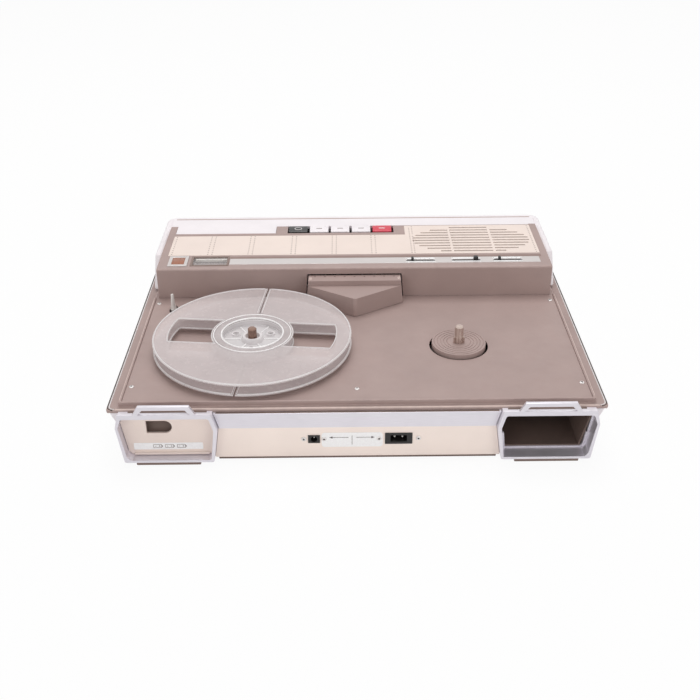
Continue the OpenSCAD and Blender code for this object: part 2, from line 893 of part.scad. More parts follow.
// Rim moulding: low ledge, lip round the floor, shelf under it and a bar under the block's front
module deck_frame() {
  inner = half_floor - shelf_w;
  color(taupe)
    difference() {
      union() {
        box([-case_w / 2, case_w / 2], [y_front, y_rear], [z_rim, z_ledge]);
        box([-half_floor - lip_w, half_floor + lip_w], [y_floor - lip_w, y_block], [z_rim, z_deck + lip_h]);
        box([-half_floor - lip_w, half_floor + lip_w], [y_block - 1, y_rear], [z_rim, z_plate]);
      }
      box([-inner, inner], [y_floor + shelf_w, y_block - shelf_w], [z_rim - 1, z_deck + lip_h + 1]);
      box([-inner, inner], [y_block + 12, y_rear - shelf_w], [z_rim - 1, z_deck + lip_h + 1]);
      box([-half_floor, half_floor], [y_floor, y_rear + 1], [z_plate, z_deck + lip_h + 1]);
      box([-half_floor + shelf_t, half_floor - shelf_t], [y_floor + shelf_t, y_rear - wall],
        [z_rim - 1, z_plate - shelf_t]);
      box([-head_half_w - 2, head_half_w + 2], [y_block - shelf_w - 1, y_block + 13], [z_rim - 1, z_deck]);
      deck_screw_holes([z_rim - 1, z_deck]);
    }
}

module deck_plate()
  color(taupe) {
    difference() {
      box([-half_floor + fit, half_floor - fit], [y_floor + fit, y_block - fit], [z_plate, z_deck]);
      both_sides() rod_z(turntable_d / 2 + well_gap, half_gap, y_spindle, [z_plate - 1, z_deck + 1]);
      box([-head_cut_w / 2, head_cut_w / 2], [y_block - head_cut_d, y_block + 1], [z_plate - 1, z_deck + 1]);
      box([-arm_cut_w / 2, arm_cut_w / 2], [y_block - arm_cut_d, y_block + 1], [z_plate - 1, z_deck + 1]);
      box([lever_x - lever_pin_r - 0.8, lever_x + lever_pin_r + 1.2],
        [lever_y - lever_swing, lever_y + lever_swing], [z_plate - 1, z_deck + 1]);
      for (s = [-1, 1])
        rod_z(lever_pin_r + 0.8, lever_x, lever_y + s * lever_swing, [z_plate - 1, z_deck + 1]);
      deck_screw_holes([z_plate - 1, z_deck + 1]);
    }
    rod_z(lever_post_r, lever_x + lever_arm, lever_y, [lever_z - 0.6, z_plate]);
  }

head_posts = [for (x = [-head_half_w + post_in, head_half_w - post_in],
  y = [y_block - head_front + post_in, y_block + head_rear - post_in]) [x, y]];

module chassis_plate()
  color(steel)
    difference() {
      union() {
        box([-frame_tip + 1.5, frame_tip - 1.5], [y_spindle - 80, y_block + 50], [z_chassis, z_chassis1]);
        for (p = posts)
          rod_z(post_r, p[0], y_spindle + p[1], [z_chassis1, z_plate]);
        rod_z(post_r, post_screw[0], y_spindle + post_screw[1], [z_chassis1, z_plate]);
        for (p = head_posts)
          rod_z(head_post_r, p[0], p[1], [z_chassis1, z_head0]);
      }
      both_sides() rod_z(bush_r + run, half_gap, y_spindle, [z_chassis - 1, z_chassis1 + 1]);
      rod_z(bush_r + run, capstan_x, y_capstan, [z_chassis - 1, z_chassis1 + 1]);
      rod_z(screw_r + run, post_screw[0], y_spindle + post_screw[1], [z_chassis1 + 1, z_plate + 1]);
    }

module bush(x, y, r)
  difference() {
    union() {
      rod_z(bush_r, x, y, [z_chassis1 - bush_len, z_chassis1]);
      rod_z(bush_flange_r, x, y, [z_chassis1, z_chassis1 + bush_flange_t]);
    }
    rod_z(r + run, x, y, [z_chassis1 - bush_len - 1, z_chassis1 + bush_flange_t + 1]);
  }

module bearing_bushes()
  color(brass) {
    both_sides() bush(half_gap, y_spindle, journal_r);
    bush(capstan_x, y_capstan, capstan_r);
  }

// Reel carrier with ring grooves and a belt pulley underneath
module turntable(x) {
  groove_w = 0.9;
  groove_h = 0.5;
  r = turntable_d / 2;
  rings = 5;
  difference() {
    union() {
      rod_z(r, x, y_spindle, [z_deck - table_drop, z_table]);
      rod_z(table_pulley_r, x, y_spindle, [z_chassis1 + bush_flange_t + fit, z_deck - table_drop]);
    }
    rod_z(spindle_d / 2 + spline_collar, x, y_spindle, [z_chassis1, z_table + 1]);
    for (i = [1 : rings])
      difference() {
        rod_z(r * (0.3 + 0.12 * i) + groove_w, x, y_spindle, [z_table - groove_h, z_table + 1]);
        rod_z(r * (0.3 + 0.12 * i), x, y_spindle, [z_table - groove_h - 1, z_table + 2]);
      }
  }
}

module supply_turntable()
  color(taupe) turntable(-half_gap);

module takeup_turntable()
  color(taupe) turntable(half_gap);

// Splined spindle with its journal below
module spindle(x) {
  chamfer = 1;
  r = spindle_d / 2;
  tip = z_deck + spindle_h;
  z_seat = z_chassis1 + bush_flange_t + fit;
  rod_z(journal_r, x, y_spindle, [z_chassis1 - bush_len - 1, z_seat]);
  rod_z(r + spline_collar, x, y_spindle, [z_seat, z_table + spline_h]);
  rod_z(r, x, y_spindle, [z_table + spline_h - 1, tip - chamfer]);
  translate([x, y_spindle, tip - chamfer]) cylinder(r1 = r, r2 = r - chamfer, h = chamfer);
  for (a = [90, 210, 330])
    translate([x, y_spindle, z_table])
      rotate([0, 0, a])
        translate([0, -spline_w / 2, 0])
          cube([r + spline_reach, spline_w, spline_h]);
}

module supply_spindle()
  color(steel) spindle(-half_gap);

module takeup_spindle()
  color(steel) spindle(half_gap);

z_reel = z_table;
z_hub = z_reel + flange_t;
z_flange = z_hub + flange_gap;
reel_bore = spindle_d / 2 + spline_collar + fit;
spline_room = 0.4;
hub_edge = 1;

module at_reel()
  translate([-half_gap, y_spindle, 0]) children();

// One flange: windows on both sides and a threading slit, to the rear with way 0 or to the front with way 1
module flange(z, hole_r, way)
  at_reel()
    rotate([0, 0, reel_turn])
      difference() {
        rod_z(reel_d / 2, 0, 0, [z, z + flange_t]);
        rod_z(hole_r, 0, 0, [z - 1, z + flange_t + 1]);
        both_sides()
          difference() {
            intersection() {
              box([0, window_r], [-window_half, window_half], [z - 1, z + flange_t + 1]);
              rod_z(window_r, 0, 0, [z - 2, z + flange_t + 2]);
            }
            rod_z(hub_d / 2 + hub_edge, 0, 0, [z - 2, z + flange_t + 2]);
          }
        mirror([0, way, 0])
          box([-slit_w / 2, slit_w / 2], [hub_d / 2 + hub_edge, reel_d], [z - 1, z + flange_t + 1]);
      }

module reel_lower()
  color(clear) flange(z_reel, spindle_d / 2 + spline_reach + spline_room, 1);

module reel_upper()
  color(clear) flange(z_flange, hub_well_d / 2, 0);

module reel_hub() {
  floor_t = 3;
  boss_hole_r = 2.4;
  color(clear)
    at_reel()
      difference() {
        rod_z(hub_d / 2, 0, 0, [z_hub, z_flange]);
        rod_z(hub_well_d / 2, 0, 0, [z_hub + floor_t, z_flange + 1]);
        rod_z(reel_bore, 0, 0, [z_hub - 1, z_flange + 1]);
        for (a = [90, 210, 330])
          rotate([0, 0, a]) {
            box([0, spindle_d / 2 + spline_reach + spline_room],
              [-spline_w / 2 - spline_room, spline_w / 2 + spline_room], [z_hub - 1, z_flange + 1]);
            rod_z(boss_hole_r, -hub_well_d / 3, 0, [z_hub - 1, z_flange + 1]);
          }
      }
}

module tension_lever()
  color(steel) {
    difference() {
      union() {
        box([lever_x, lever_x + lever_arm], [lever_y - lever_pin_r, lever_y + lever_pin_r],
          [lever_z, lever_z + lever_t]);
        rod_z(lever_hub_r, lever_x + lever_arm, lever_y, [lever_z, lever_z + lever_t]);
      }
      rod_z(lever_post_r + run, lever_x + lever_arm, lever_y, [lever_z - 1, lever_z + lever_t + 1]);
    }
    translate([lever_x, lever_y, lever_z])
      cylinder(r1 = lever_pin_r, r2 = lever_tip_r, h = z_deck + lever_h - lever_z);
  }

// Nose and bar of the head cover, their fronts moved back by s, their sides and tops in by i
module cover_solid(s, i) {
  half = cover_w / 2 - i;
  apex = cover_apex_y + s;
  corner = cover_corner_y + s - i * tan(cover_turn);
  rear = y_block - cover_rear_gap + i;
  reach = cover_w;
  z0 = z_deck + cover_seat;
  difference() {
    translate([0, 0, z0]) {
      linear_extrude(cover_h - cover_seat - i)
        polygon([[0, apex], [half, corner], [half, rear], [-half, rear], [-half, corner]]);
      box([-half, half], [y_block - cover_bar_d + i, rear], [0, cover_bar_h - cover_seat - i]);
    }
    both_sides() {
      translate([0, apex, z0])
        rotate([0, 0, cover_turn])
          rotate([cover_slope, 0, 0])
            translate([-reach, -reach, 0])
              cube([2 * reach, 2 * reach, reach]);
      translate([half, 0, z0])
        rotate([0, -cover_draft, 0])
          translate([0, -reach, -reach])
            cube([reach, 2 * reach, 2 * reach]);
    }
  }
}

module head_cover()
  color(taupe) {
    difference() {
      cover_solid(0, 0);
      cover_solid(cover_t / (cos(cover_turn) * sin(cover_slope)), cover_t);
      box([-cover_w / 2 + cover_t, cover_w / 2 - cover_t], [cover_corner_y + cover_t, y_block + 1],
        [z_deck, z_deck + cover_seat + cover_t]);
    }
    both_sides()
      rod_x(cover_pin_r, [hinge_x0 - fit, hinge_x1 + cover_t], cover_pivot_y, cover_pivot_z);
  }

// Hinge posts of the head cover, which stand inside it
module cover_posts()
  difference() {
    both_sides() {
      y0 = cover_pivot_y - hinge_r;
      y1 = y_block + block_wall + hinge_t;
      z1 = hinge_z0 + hinge_foot;
      box([hinge_x0, hinge_x1], [y0, cover_pivot_y + hinge_r], [hinge_z0, cover_pivot_z]);
      rod_x(hinge_r, [hinge_x0, hinge_x1], cover_pivot_y, cover_pivot_z);
      box([hinge_x0, hinge_x1], [y0, y1], [hinge_z0, z1]);
      box([hinge_x0, cover_w / 2 + opening_gap + hinge_over], [y1 - hinge_t - fit, y1], [hinge_z0, z1]);
    }
    rod_x(cover_pin_r + run, [-cover_w, cover_w], cover_pivot_y, cover_pivot_z);
  }

module head_plate()
  color(steel)
    difference() {
      union() {
        box([-head_half_w, head_half_w], [y_block - head_front, y_block + head_rear], [z_head0, z_head]);
        rod_z(pinch_post_r, pinch_pivot[0], y_block + pinch_pivot[1], [z_head, pinch_z + pinch_arm_t + 1]);
        rod_z(pinch_post_r + 1.5, pinch_pivot[0], y_block + pinch_pivot[1], [z_head, pinch_z - fit]);
      }
      rod_z(capstan_r + 1, capstan_x, y_capstan, [z_head0 - 1, z_head + 1]);
    }

module tape_head(x, w)
  box([x - w / 2, x + w / 2], [y_tape, y_tape + head_d], [z_head, z_head + head_h]);

module record_head()
  color(steel) tape_head(0, record_w);

module erase_head()
  color(black) tape_head(erase_x, erase_w);

module tape_guides()
  color(steel)
    both_sides() {
      rod_z(guide_r, guide_x, y_tape, [z_head, z_head + guide_h]);
      rod_z(guide_flange_r, guide_x, y_tape, [z_head, z_head + guide_foot]);
      rod_z(guide_flange_r, guide_x, y_tape, [z_head + guide_h, z_head + guide_h + guide_cap]);
    }

module capstan()
  color(steel) {
    rod_z(capstan_r, capstan_x, y_capstan, [flywheel_z - 2, z_deck + capstan_h]);
    rod_z(capstan_pulley_r, capstan_x, y_capstan, [belt_z - 0.5, belt_z + belt_w + 0.2]);
  }

module flywheel() {
  hub_r = 8;
  hub_up = 4;
  color(steel)
    difference() {
      union() {
        rod_z(flywheel_r, capstan_x, y_capstan, [flywheel_z, flywheel_z + flywheel_t]);
        rod_z(hub_r, capstan_x, y_capstan, [flywheel_z, flywheel_z + flywheel_t + hub_up]);
      }
      rod_z(capstan_r, capstan_x, y_capstan, [flywheel_z - 1, flywheel_z + flywheel_t + hub_up + 1]);
    }
}

module pinch_arm()
  color(steel)
    translate([pinch_pivot[0], y_block + pinch_pivot[1], pinch_z])
      rotate([0, 0, arm_turn])
        difference() {
          union() {
            box([0, arm_len], [-pinch_arm_w / 2, pinch_arm_w / 2], [0, pinch_arm_t]);
            rod_z(pinch_arm_w / 2 + 0.5, 0, 0, [0, pinch_arm_t]);
            rod_z(pinch_arm_w / 2, arm_len, 0, [0, pinch_arm_t]);
            rod_z(pinch_axle_r, arm_len, 0, [pinch_arm_t, pinch_arm_t + fit + roller_h]);
          }
          rod_z(pinch_post_r + run, 0, 0, [-1, pinch_arm_t + 1]);
        }

module pinch_roller()
  color(black)
    difference() {
      rod_z(pinch_r, pinch_rest[0], y_block + pinch_rest[1], [roller_z, roller_z + roller_h]);
      rod_z(pinch_axle_r + run, pinch_rest[0], y_block + pinch_rest[1],
        [roller_z - 1, roller_z + roller_h + 1]);
    }

module motor()
  color(steel)
    difference() {
      rod_z(motor_r, motor_x, y_capstan, [motor_z, z_chassis]);
      rod_z(motor_shaft_r + run, motor_x, y_capstan, [motor_z - 1, z_chassis - 6]);
    }

module motor_pulley()
  color(brass) {
    rod_z(motor_shaft_r, motor_x, y_capstan, [flywheel_z, z_chassis - 7]);
    rod_z(pulley_r, motor_x, y_capstan, [flywheel_z, flywheel_z + flywheel_t]);
  }

// Flat belt round two pulleys
module belt(a, ra, b, rb, z)
  translate([0, 0, z])
    linear_extrude(belt_w)
      difference() {
        hull() {
          translate(a) circle(r = ra + fit + belt_t, $fn = 40);
          translate(b) circle(r = rb + fit + belt_t, $fn = 40);
        }
        hull() {
          translate(a) circle(r = ra + fit, $fn = 40);
          translate(b) circle(r = rb + fit, $fn = 40);
        }
      }

module drive_belts()
  color(black) {
    belt([capstan_x, y_capstan], flywheel_r, [motor_x, y_capstan], pulley_r, fly_belt_z);
    belt([capstan_x, y_capstan], capstan_pulley_r, [half_gap, y_spindle], table_pulley_r, belt_z);
  }

// Cut for one slide control through a plate
module slider_cut(x, z)
  box([x, x + slider_len], [slider_y - slider_slot / 2, slider_y + slider_slot / 2], z);

module slider_cuts(z)
  for (x = [volume_x, speed_x, tone_x])
    slider_cut(x, z);

module panel_outline(gap, z) {
  x1 = half_block - rail_w + gap;
  box([-x1, x1], [y_panel - gap, y_panel1 + gap], z);
  box([wing_x - gap, x1], [y_panel - gap, y_wing1 + gap], z);
}

module control_housing() {
  z0 = z_top - block_top_t;
  z_inlay = z_top - inlay;
  half_open = cover_w / 2 + opening_gap;
  half_lintel = half_open - (z_lintel - z_deck) * tan(cover_draft);
  color(taupe) {
    cover_posts();
    difference() {
      union() {
        box([-half_block, half_block], [y_block, y_block + block_wall], [z_plate, z_top]);
        both_sides() {
          box([half_block - block_wall, half_block], [y_block, y_rails], [z_plate, z_top]);
          box([half_block - rail_w, half_block], [y_block, y_rails], [z0, z_top]);
        }
        box([-half_block, half_block], [y_block, y_panel1], [z0, z_top]);
        box([wing_x - wing_edge, half_block], [y_block, y_wing1 + 1], [z0, z_top]);
        box([-half_block, slot_x1], [y_panel1 - 1, y_slot], [z0, z_top]);
        box([slot_x0, keys_x0], [y_panel1, y_slot1], [z0, z_top]);
        box([keys_x1 + 1, slot_x1], [y_panel1, y_slot1], [z0, z_top]);
      }
      prism_y([[-half_open, z_deck], [half_open, z_deck], [half_lintel, z_lintel], [-half_lintel, z_lintel]],
        [y_block - 1, y_block + block_wall + 1]);
      box([-half_open, half_open], [y_block - 1, y_block + block_wall + 1], [z_plate - 1, z_deck + fit]);
      panel_outline(fit / 2, [z_inlay, z_top + 1]);
      box([strip_x0 - fit / 2, strip_x1 + fit / 2], [y_strip - fit / 2, y_strip + strip_d + fit / 2],
        [z_inlay, z_top + 1]);
      box([lamp_x0 - fit / 2, lamp_x1 + fit / 2], [lamp_y - fit / 2, lamp_y + lamp_d + fit / 2],
        [z_inlay, z_top + 1]);
      box([meter_x0 - fit / 2, meter_x1 + fit / 2], [meter_y - fit / 2, meter_y + meter_d + fit / 2],
        [z0 - 1, z_top + 1]);
      slot_x(speaker_hole_half, speaker_hole_r, grille_x, speaker_y, [z0 - 1, z_top + 1]);
      slider_cuts([z0 - 1, z_top + 1]);
      both_sides()
        box([half_block - block_wall - 1, half_block + 1],
          [handle_pin_y - handle_pin_r - fit, handle_pin_y + handle_travel + handle_pin_r + fit],
          [handle_pin_z - handle_pin_r - fit, handle_pin_z + handle_pin_r + fit]);
    }
  }
}

module grille_panel() {
  lo = grille_y - (grille_rows / 2 - 0.25) * grille_pitch;
  color(cream)
    difference() {
      panel_outline(0, [z_top - inlay, z_top + proud]);
      difference() {
        for (i = [0 : grille_rows - 1]) {
          y = lo + (i + 0.5) * grille_pitch;
          v = (y - grille_y) / grille_half_d;
          half = grille_half_w * sqrt(max(0.05, 1 - v * v));
          box([grille_x - half, grille_x + half], [y - grille_slot / 2, y + grille_slot / 2],
            [z_top - inlay - 1, z_top + proud + 1]);
        }
        for (s = [-1, 1])
          translate([grille_x + s * grille_bar_gap / 2, 0, 0])
            box([-grille_bar / 2, grille_bar / 2], [y_panel - 1, y_wing1 + 1],
              [z_top - inlay - 2, z_top + proud + 2]);
      }
    }
}

module control_strip()
  color(silver)
    difference() {
      box([strip_x0, strip_x1], [y_strip, y_strip + strip_d], [z_top - inlay, z_top + proud]);
      slider_cuts([z_top - inlay - 1, z_top + proud + 1]);
    }

module indicator_bezel()
  color(silver)
    difference() {
      box([lamp_x0, lamp_x1], [lamp_y, lamp_y + lamp_d], [z_top - inlay, z_top + lamp_rise]);
      box([lamp_x0 + lamp_frame, lamp_x1 - lamp_frame], [lamp_y + lamp_frame, lamp_y + lamp_d - lamp_frame],
        [z_top - inlay - 1, z_top + lamp_rise + 1]);
    }

module indicator_lens()
  color(amber)
    box([lamp_x0 + lamp_frame + run, lamp_x1 - lamp_frame - run],
      [lamp_y + lamp_frame + run, lamp_y + lamp_d - lamp_frame - run],
      [z_top - inlay, z_top + lamp_rise - 0.4]);

module meter_case() {
  w = meter_wall;
  color(dark_taupe)
    difference() {
      union() {
        box([meter_x0, meter_x1], [meter_y, meter_y + meter_d], [meter_z0, z_top + meter_flange_t]);
        box([meter_x0 - meter_flange, meter_x1 + meter_flange],
          [meter_y - meter_flange, meter_y + meter_d + meter_flange], [z_top, z_top + meter_flange_t]);
      }
      box([meter_x0 + w, meter_x1 - w], [meter_y + w, meter_y + meter_d - w], [meter_scale_z, z_top + 1]);
      rod_z(needle_arbor_r + run, needle_x, needle_y, [meter_scale_z - 5, meter_scale_z + 1]);
    }
}

module meter_needle()
  color(black) {
    rod_z(needle_arbor_r, needle_x, needle_y, [meter_scale_z - 4, meter_scale_z + 1]);
    rod_z(needle_hub_r, needle_x, needle_y, [meter_scale_z + fit, meter_scale_z + fit + needle_t]);
    box([needle_x - needle_w / 2, needle_x + needle_w / 2], [needle_y, needle_y + needle_len],
      [meter_scale_z + fit, meter_scale_z + fit + needle_t]);
  }

// Thumb piece above the strip and its stem down into the control's body
module slider(x, w, d, h) {
  z0 = z_top + proud + fit;
  box([x - w / 2, x + w / 2], [slider_y - d / 2, slider_y + d / 2], [z0, z0 + h]);
  box([x - stem_w / 2, x + stem_w / 2], [slider_y - stem_t / 2, slider_y + stem_t / 2], [slider_z1 - 6, z0]);
}

module volume_slider()
  color(black) slider(volume_rest, thumb_w, thumb_d, thumb_h);

module tone_slider()
  color(black) slider(tone_rest, thumb_w, thumb_d, thumb_h);

module speed_switch()
  color(black) slider(speed_rest, knob_w, thumb_d, knob_h);

module slider_bodies()
  color(steel)
    for (x = [volume_x, speed_x, tone_x])
      difference() {
        box([x - slider_over, x + slider_len + slider_over],
          [slider_y - slider_body_d / 2, slider_y + slider_body_d / 2],
          [slider_z1 - slider_body_h, slider_z1]);
        slider_cut(x, [slider_z1 - 8, slider_z1 + 1]);
      }

// One key: cap, lever and the hub that turns on the key shaft
module piano_key(i) {
  x0 = keys_x0 + key_gap / 2 + i * key_pitch;
  cap_t = 5.5;
  top = z_top + key_rise;
  y1 = key_y + key_d;
  z_arm = key_shaft_z + key_hub_r - 0.4;
  difference() {
    union() {
      prism_x([[key_y, top - cap_t], [key_y, top - 0.6], [key_y + 1, top], [y1, top], [y1, z_arm],
        [key_shaft_y, z_arm], [key_shaft_y, key_shaft_z - key_hub_r + 0.4],
        [y1 + 2, key_shaft_z - key_hub_r + 0.4],
        [y1 - 4, top - cap_t]], [x0, x0 + key_w]);
      rod_x(key_hub_r, [x0, x0 + key_w], key_shaft_y, key_shaft_z);
    }
    rod_x(key_shaft_r + run, [x0 - 1, x0 + key_w + 1], key_shaft_y, key_shaft_z);
  }
}

module rewind_key()
  color(black) piano_key(0);

module stop_key()
  color(white) piano_key(1);

module play_key()
  color(white) piano_key(2);

module forward_key()
  color(white) piano_key(3);

module record_key()
  color(red) piano_key(4);

module key_shaft()
  color(steel)
    rod_x(key_shaft_r, [keys_x0 - key_ear_t, keys_x1 + key_ear_t], key_shaft_y, key_shaft_z);

module rear_cover() {
  z0 = z_top - block_top_t;
  inner = half_block - rail_w - fit;
  ear_h = key_hub_r + 1;
  color(white)
    difference() {
      union() {
        box([-inner, inner], [y_slot + fit, y_rear], [z0, z_top]);
        box([-half_block, half_block], [y_rails + fit, y_rear], [z0, z_top]);
        box([-half_block, half_block], [y_rear - wall, y_rear], [z_plate, z_top]);
        both_sides() box([half_block - block_wall, half_block], [y_rails + fit, y_rear], [z_plate, z_top]);
        for (x = [keys_x0 - key_ear_t, keys_x1])
          box([x, x + key_ear_t], [key_shaft_y - ear_h, key_shaft_y + ear_h],
            [key_shaft_z - ear_h, z_top - 1]);
      }
      box([slot_x0 - fit, slot_x1 + fit], [y_panel1 - 1, y_slot1 + fit], [z0 - 1, z_top + 1]);
      box([wing_x - wing_edge - fit, half_block - rail_w + fit], [y_panel1 - 1, y_wing1 + 1 + fit],
        [z0 - 1, z_top + 1]);
      rod_x(key_shaft_r + run, [keys_x0 - key_ear_t - 1, keys_x1 + key_ear_t + 1], key_shaft_y, key_shaft_z);
    }
}

// Carry handle: grip behind the case, an arm along each side and a headed guide pin on each arm
module handle() {
  z1 = handle_z + handle_h;
  y_grip = y_rear + handle_gap;
  r = handle_t;
  color(white) {
    box([-half_handle + r, half_handle - r], [y_grip, handle_y1], [handle_z, z1]);
    both_sides() {
      intersection() {
        rod_z(r, half_handle - r, y_grip, [handle_z, z1]);
        box([half_handle - r, half_handle], [y_grip, handle_y1], [handle_z, z1]);
      }
      prism_x([[handle_y0, handle_z], [y_grip, handle_z], [y_grip, z1], [handle_y0 + handle_slant, z1]],
        [handle_arm_x, half_handle]);
      rod_x(handle_pin_r, [half_block - block_wall - fit - 2, handle_arm_x + 1], handle_pin_y, handle_pin_z);
      rod_x(handle_pin_head, [half_block - block_wall - fit - 2, half_block - block_wall - fit],
        handle_pin_y, handle_pin_z);
    }
  }
}

// Oval frame, basket and magnet with the cone inside
module speaker() {
  z1 = z_top - block_top_t;
  z_cup = z1 - speaker_flange_t - speaker_cup_h;
  r = speaker_hole_r;
  color(steel) {
    difference() {
      box([grille_x - speaker_half_w, grille_x + speaker_half_w],
        [speaker_y - r - speaker_flange_over, speaker_y + r + speaker_flange_over],
        [z1 - speaker_flange_t, z1]);
      slot_x(speaker_hole_half, r, grille_x, speaker_y, [z1 - speaker_flange_t - 1, z1 + 1]);
    }
    difference() {
      hull() {
        slot_x(speaker_hole_half, r + speaker_skin, grille_x, speaker_y,
          [z1 - speaker_flange_t - 0.5, z1 - speaker_flange_t], $fn = 32);
        rod_z(speaker_magnet_r, grille_x, speaker_y, [z_cup, z_cup + 1], $fn = 32);
      }
      hull() {
        slot_x(speaker_hole_half, r - 1, grille_x, speaker_y,
          [z1 - speaker_flange_t, z1 - speaker_flange_t + 1], $fn = 32);
        rod_z(cone_r, grille_x, speaker_y,
          [z1 - speaker_flange_t - cone_h, z1 - speaker_flange_t - cone_h + 1], $fn = 32);
      }
    }
    rod_z(speaker_magnet_r, grille_x, speaker_y, [z_cup - speaker_magnet_h, z_cup + 0.5]);
  }
}

module circuit_board() {
  y1 = board_y0 + board_len;
  cap_r = 6;
  cap_h = 14;
  color(green)
    box([board_x0, board_x1], [board_y0, y1], [board_z, board_z + board_t]);
  color(steel)
    for (x = [board_x0 + board_inset, board_x1 - board_inset], y = [board_y0 + board_inset, y1 - board_inset])
      rod_z(board_post_r, x, y, [z_tub + wall, board_z]);
  color(black)
    for (i = [0 : 3])
      rod_z(cap_r, board_x0 + 16 + (i % 2) * 22, board_y0 + 22 + i * 14,
        [board_z + board_t, board_z + board_t + cap_h]);
}

module transformer() {
  z0 = z_tub + wall;
  lam = 12;
  color(steel) {
    box([trafo_x0, trafo_x0 + trafo_w], [trafo_y0 + lam, trafo_y0 + trafo_d - lam],
      [z0 + trafo_foot_h, z0 + trafo_h]);
    box([trafo_x0 - trafo_foot, trafo_x0 + trafo_w + trafo_foot], [trafo_y0 + lam, trafo_y0 + trafo_d - lam],
      [z0, z0 + trafo_foot_h]);
    box([trafo_x0 + 8, trafo_x0 + trafo_w - 8], [trafo_y0, trafo_y0 + trafo_d],
      [z0 + trafo_foot_h + 4, z0 + trafo_h - 5]);
  }
}

case_tub();
feet();
front_panel();
front_trim();
left_frame();
right_frame();
battery_door();
battery_box();
battery_cells();
accessory_box();
dc_jack();
ac_inlet();
socket_pins();
screws();
deck_frame();
deck_plate();
chassis_plate();
bearing_bushes();
supply_turntable();
supply_spindle();
takeup_turntable();
takeup_spindle();
reel_lower();
reel_upper();
reel_hub();
tension_lever();
head_cover();
head_plate();
record_head();
erase_head();
tape_guides();
capstan();
flywheel();
pinch_arm();
pinch_roller();
motor();
motor_pulley();
drive_belts();
control_housing();
grille_panel();
control_strip();
indicator_bezel();
indicator_lens();
meter_case();
meter_needle();
volume_slider();
tone_slider();
speed_switch();
slider_bodies();
rewind_key();
stop_key();
play_key();
forward_key();
record_key();
key_shaft();
rear_cover();
handle();
speaker();
circuit_board();
transformer();
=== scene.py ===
import json
import math

import bmesh
import bpy
from bpy.props import FloatProperty, FloatVectorProperty, IntProperty, PointerProperty
from bpy.types import Operator, Panel, PropertyGroup
from mathutils import Euler, Matrix, Vector


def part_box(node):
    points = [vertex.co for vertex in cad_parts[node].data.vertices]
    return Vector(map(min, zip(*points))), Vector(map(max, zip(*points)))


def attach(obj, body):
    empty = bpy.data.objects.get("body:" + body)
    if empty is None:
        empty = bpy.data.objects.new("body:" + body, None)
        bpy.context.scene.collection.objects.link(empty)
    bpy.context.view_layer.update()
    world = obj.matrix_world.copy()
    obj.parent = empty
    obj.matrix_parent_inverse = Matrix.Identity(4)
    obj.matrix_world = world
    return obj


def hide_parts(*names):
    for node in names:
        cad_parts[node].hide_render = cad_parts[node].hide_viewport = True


bl_info = {
    "name": "Reel to Reel Recorder",
    "version": (1, 0, 0),
    "blender": (4, 5, 0),
    "location": "View3D > Sidebar > Recorder",
    "description": "Dresses the packed tape recorder with moulded, printed and metal detail",
    "category": "Object",
}

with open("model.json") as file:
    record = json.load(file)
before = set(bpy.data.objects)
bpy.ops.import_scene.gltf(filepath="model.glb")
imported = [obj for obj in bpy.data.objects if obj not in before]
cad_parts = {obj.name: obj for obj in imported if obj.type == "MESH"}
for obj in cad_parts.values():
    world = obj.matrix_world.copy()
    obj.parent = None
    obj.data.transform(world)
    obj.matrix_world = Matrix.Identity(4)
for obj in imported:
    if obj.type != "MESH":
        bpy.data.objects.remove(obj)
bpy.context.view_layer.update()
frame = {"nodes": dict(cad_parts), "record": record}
SLOT_OF = {part["node"]: part["material_slot"] for part in frame["record"]["subparts"]}
BODIES = frame["record"]["behaviour"]["bodies"]
BODY_OF = {node: body for body, nodes in BODIES.items() for node in nodes}
MM = 0.001

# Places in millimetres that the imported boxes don't give
SLOT_SPAN = {"volume_slider": (52, 79), "speed_switch": (97, 124), "tone_slider": (138, 165)}
PANEL_DEPTH = 48.0
WING_X = 53.5

# The front's outward direction, and the turns that face a detail up, forward and down
FRONT = (0, -1, 0)
UPRIGHT, FORWARD, DOWNWARD = (0, 0, 0), (math.pi / 2, 0, 0), (math.pi, 0, 0)

# Angles between faces, from those of one flat area to those of a hard edge
LEVEL, SLIGHT, SHARP, BROAD, HARD = (math.radians(a) for a in (0.05, 0.5, 28, 35, 42))


def tint(*rgb):
    """Linear colour from screen values of 0 to 255."""
    return tuple(v / 12.92 if v <= 0.04045 else ((v + 0.055) / 1.055) ** 2.4
                 for v in (part / 255 for part in rgb))


def colour(name, description, rgb):
    return FloatVectorProperty(name=name, description=description, subtype="COLOR", size=3,
                               min=0, max=1, default=tint(*rgb))


def length(name, description, mm):
    return FloatProperty(name=name, description=description, default=mm * MM, min=0,
                         unit="LENGTH", precision=5)


class RecorderColours(PropertyGroup):
    """Colours of the recorder's finishes."""
    taupe: colour("Taupe", "Deck, control block and turntables", (171, 149, 144))
    white: colour("White", "Case tub, rear cover, handle and keys", (244, 238, 241))
    cream: colour("Cream", "Grille panel and battery door", (240, 224, 215))
    silver: colour("Silver", "Frames and trim", (226, 222, 229))
    strip: colour("Strip silver", "Control strip", (206, 200, 198))
    dark: colour("Dark taupe", "The rim's outer line", (58, 48, 44))
    box: colour("Box taupe", "Accessory box and battery box", (112, 94, 86))
    surround: colour("Meter surround", "Flange of the meter and feet", (132, 112, 104))
    black: colour("Black", "Slide bodies and one key", (46, 44, 44))
    red: colour("Red", "Record key", (214, 62, 82))
    amber: colour("Amber", "Indicator lens", (150, 88, 58))
    frosted: colour("Frosted clear", "Reel", (234, 223, 223))
    steel: colour("Steel", "Shafts and plates", (186, 184, 182))
    print_dark: colour("Dark print", "Marks on pale surfaces", (96, 86, 84))
    print_grey: colour("Grey print", "Dots and dashes", (108, 92, 86))


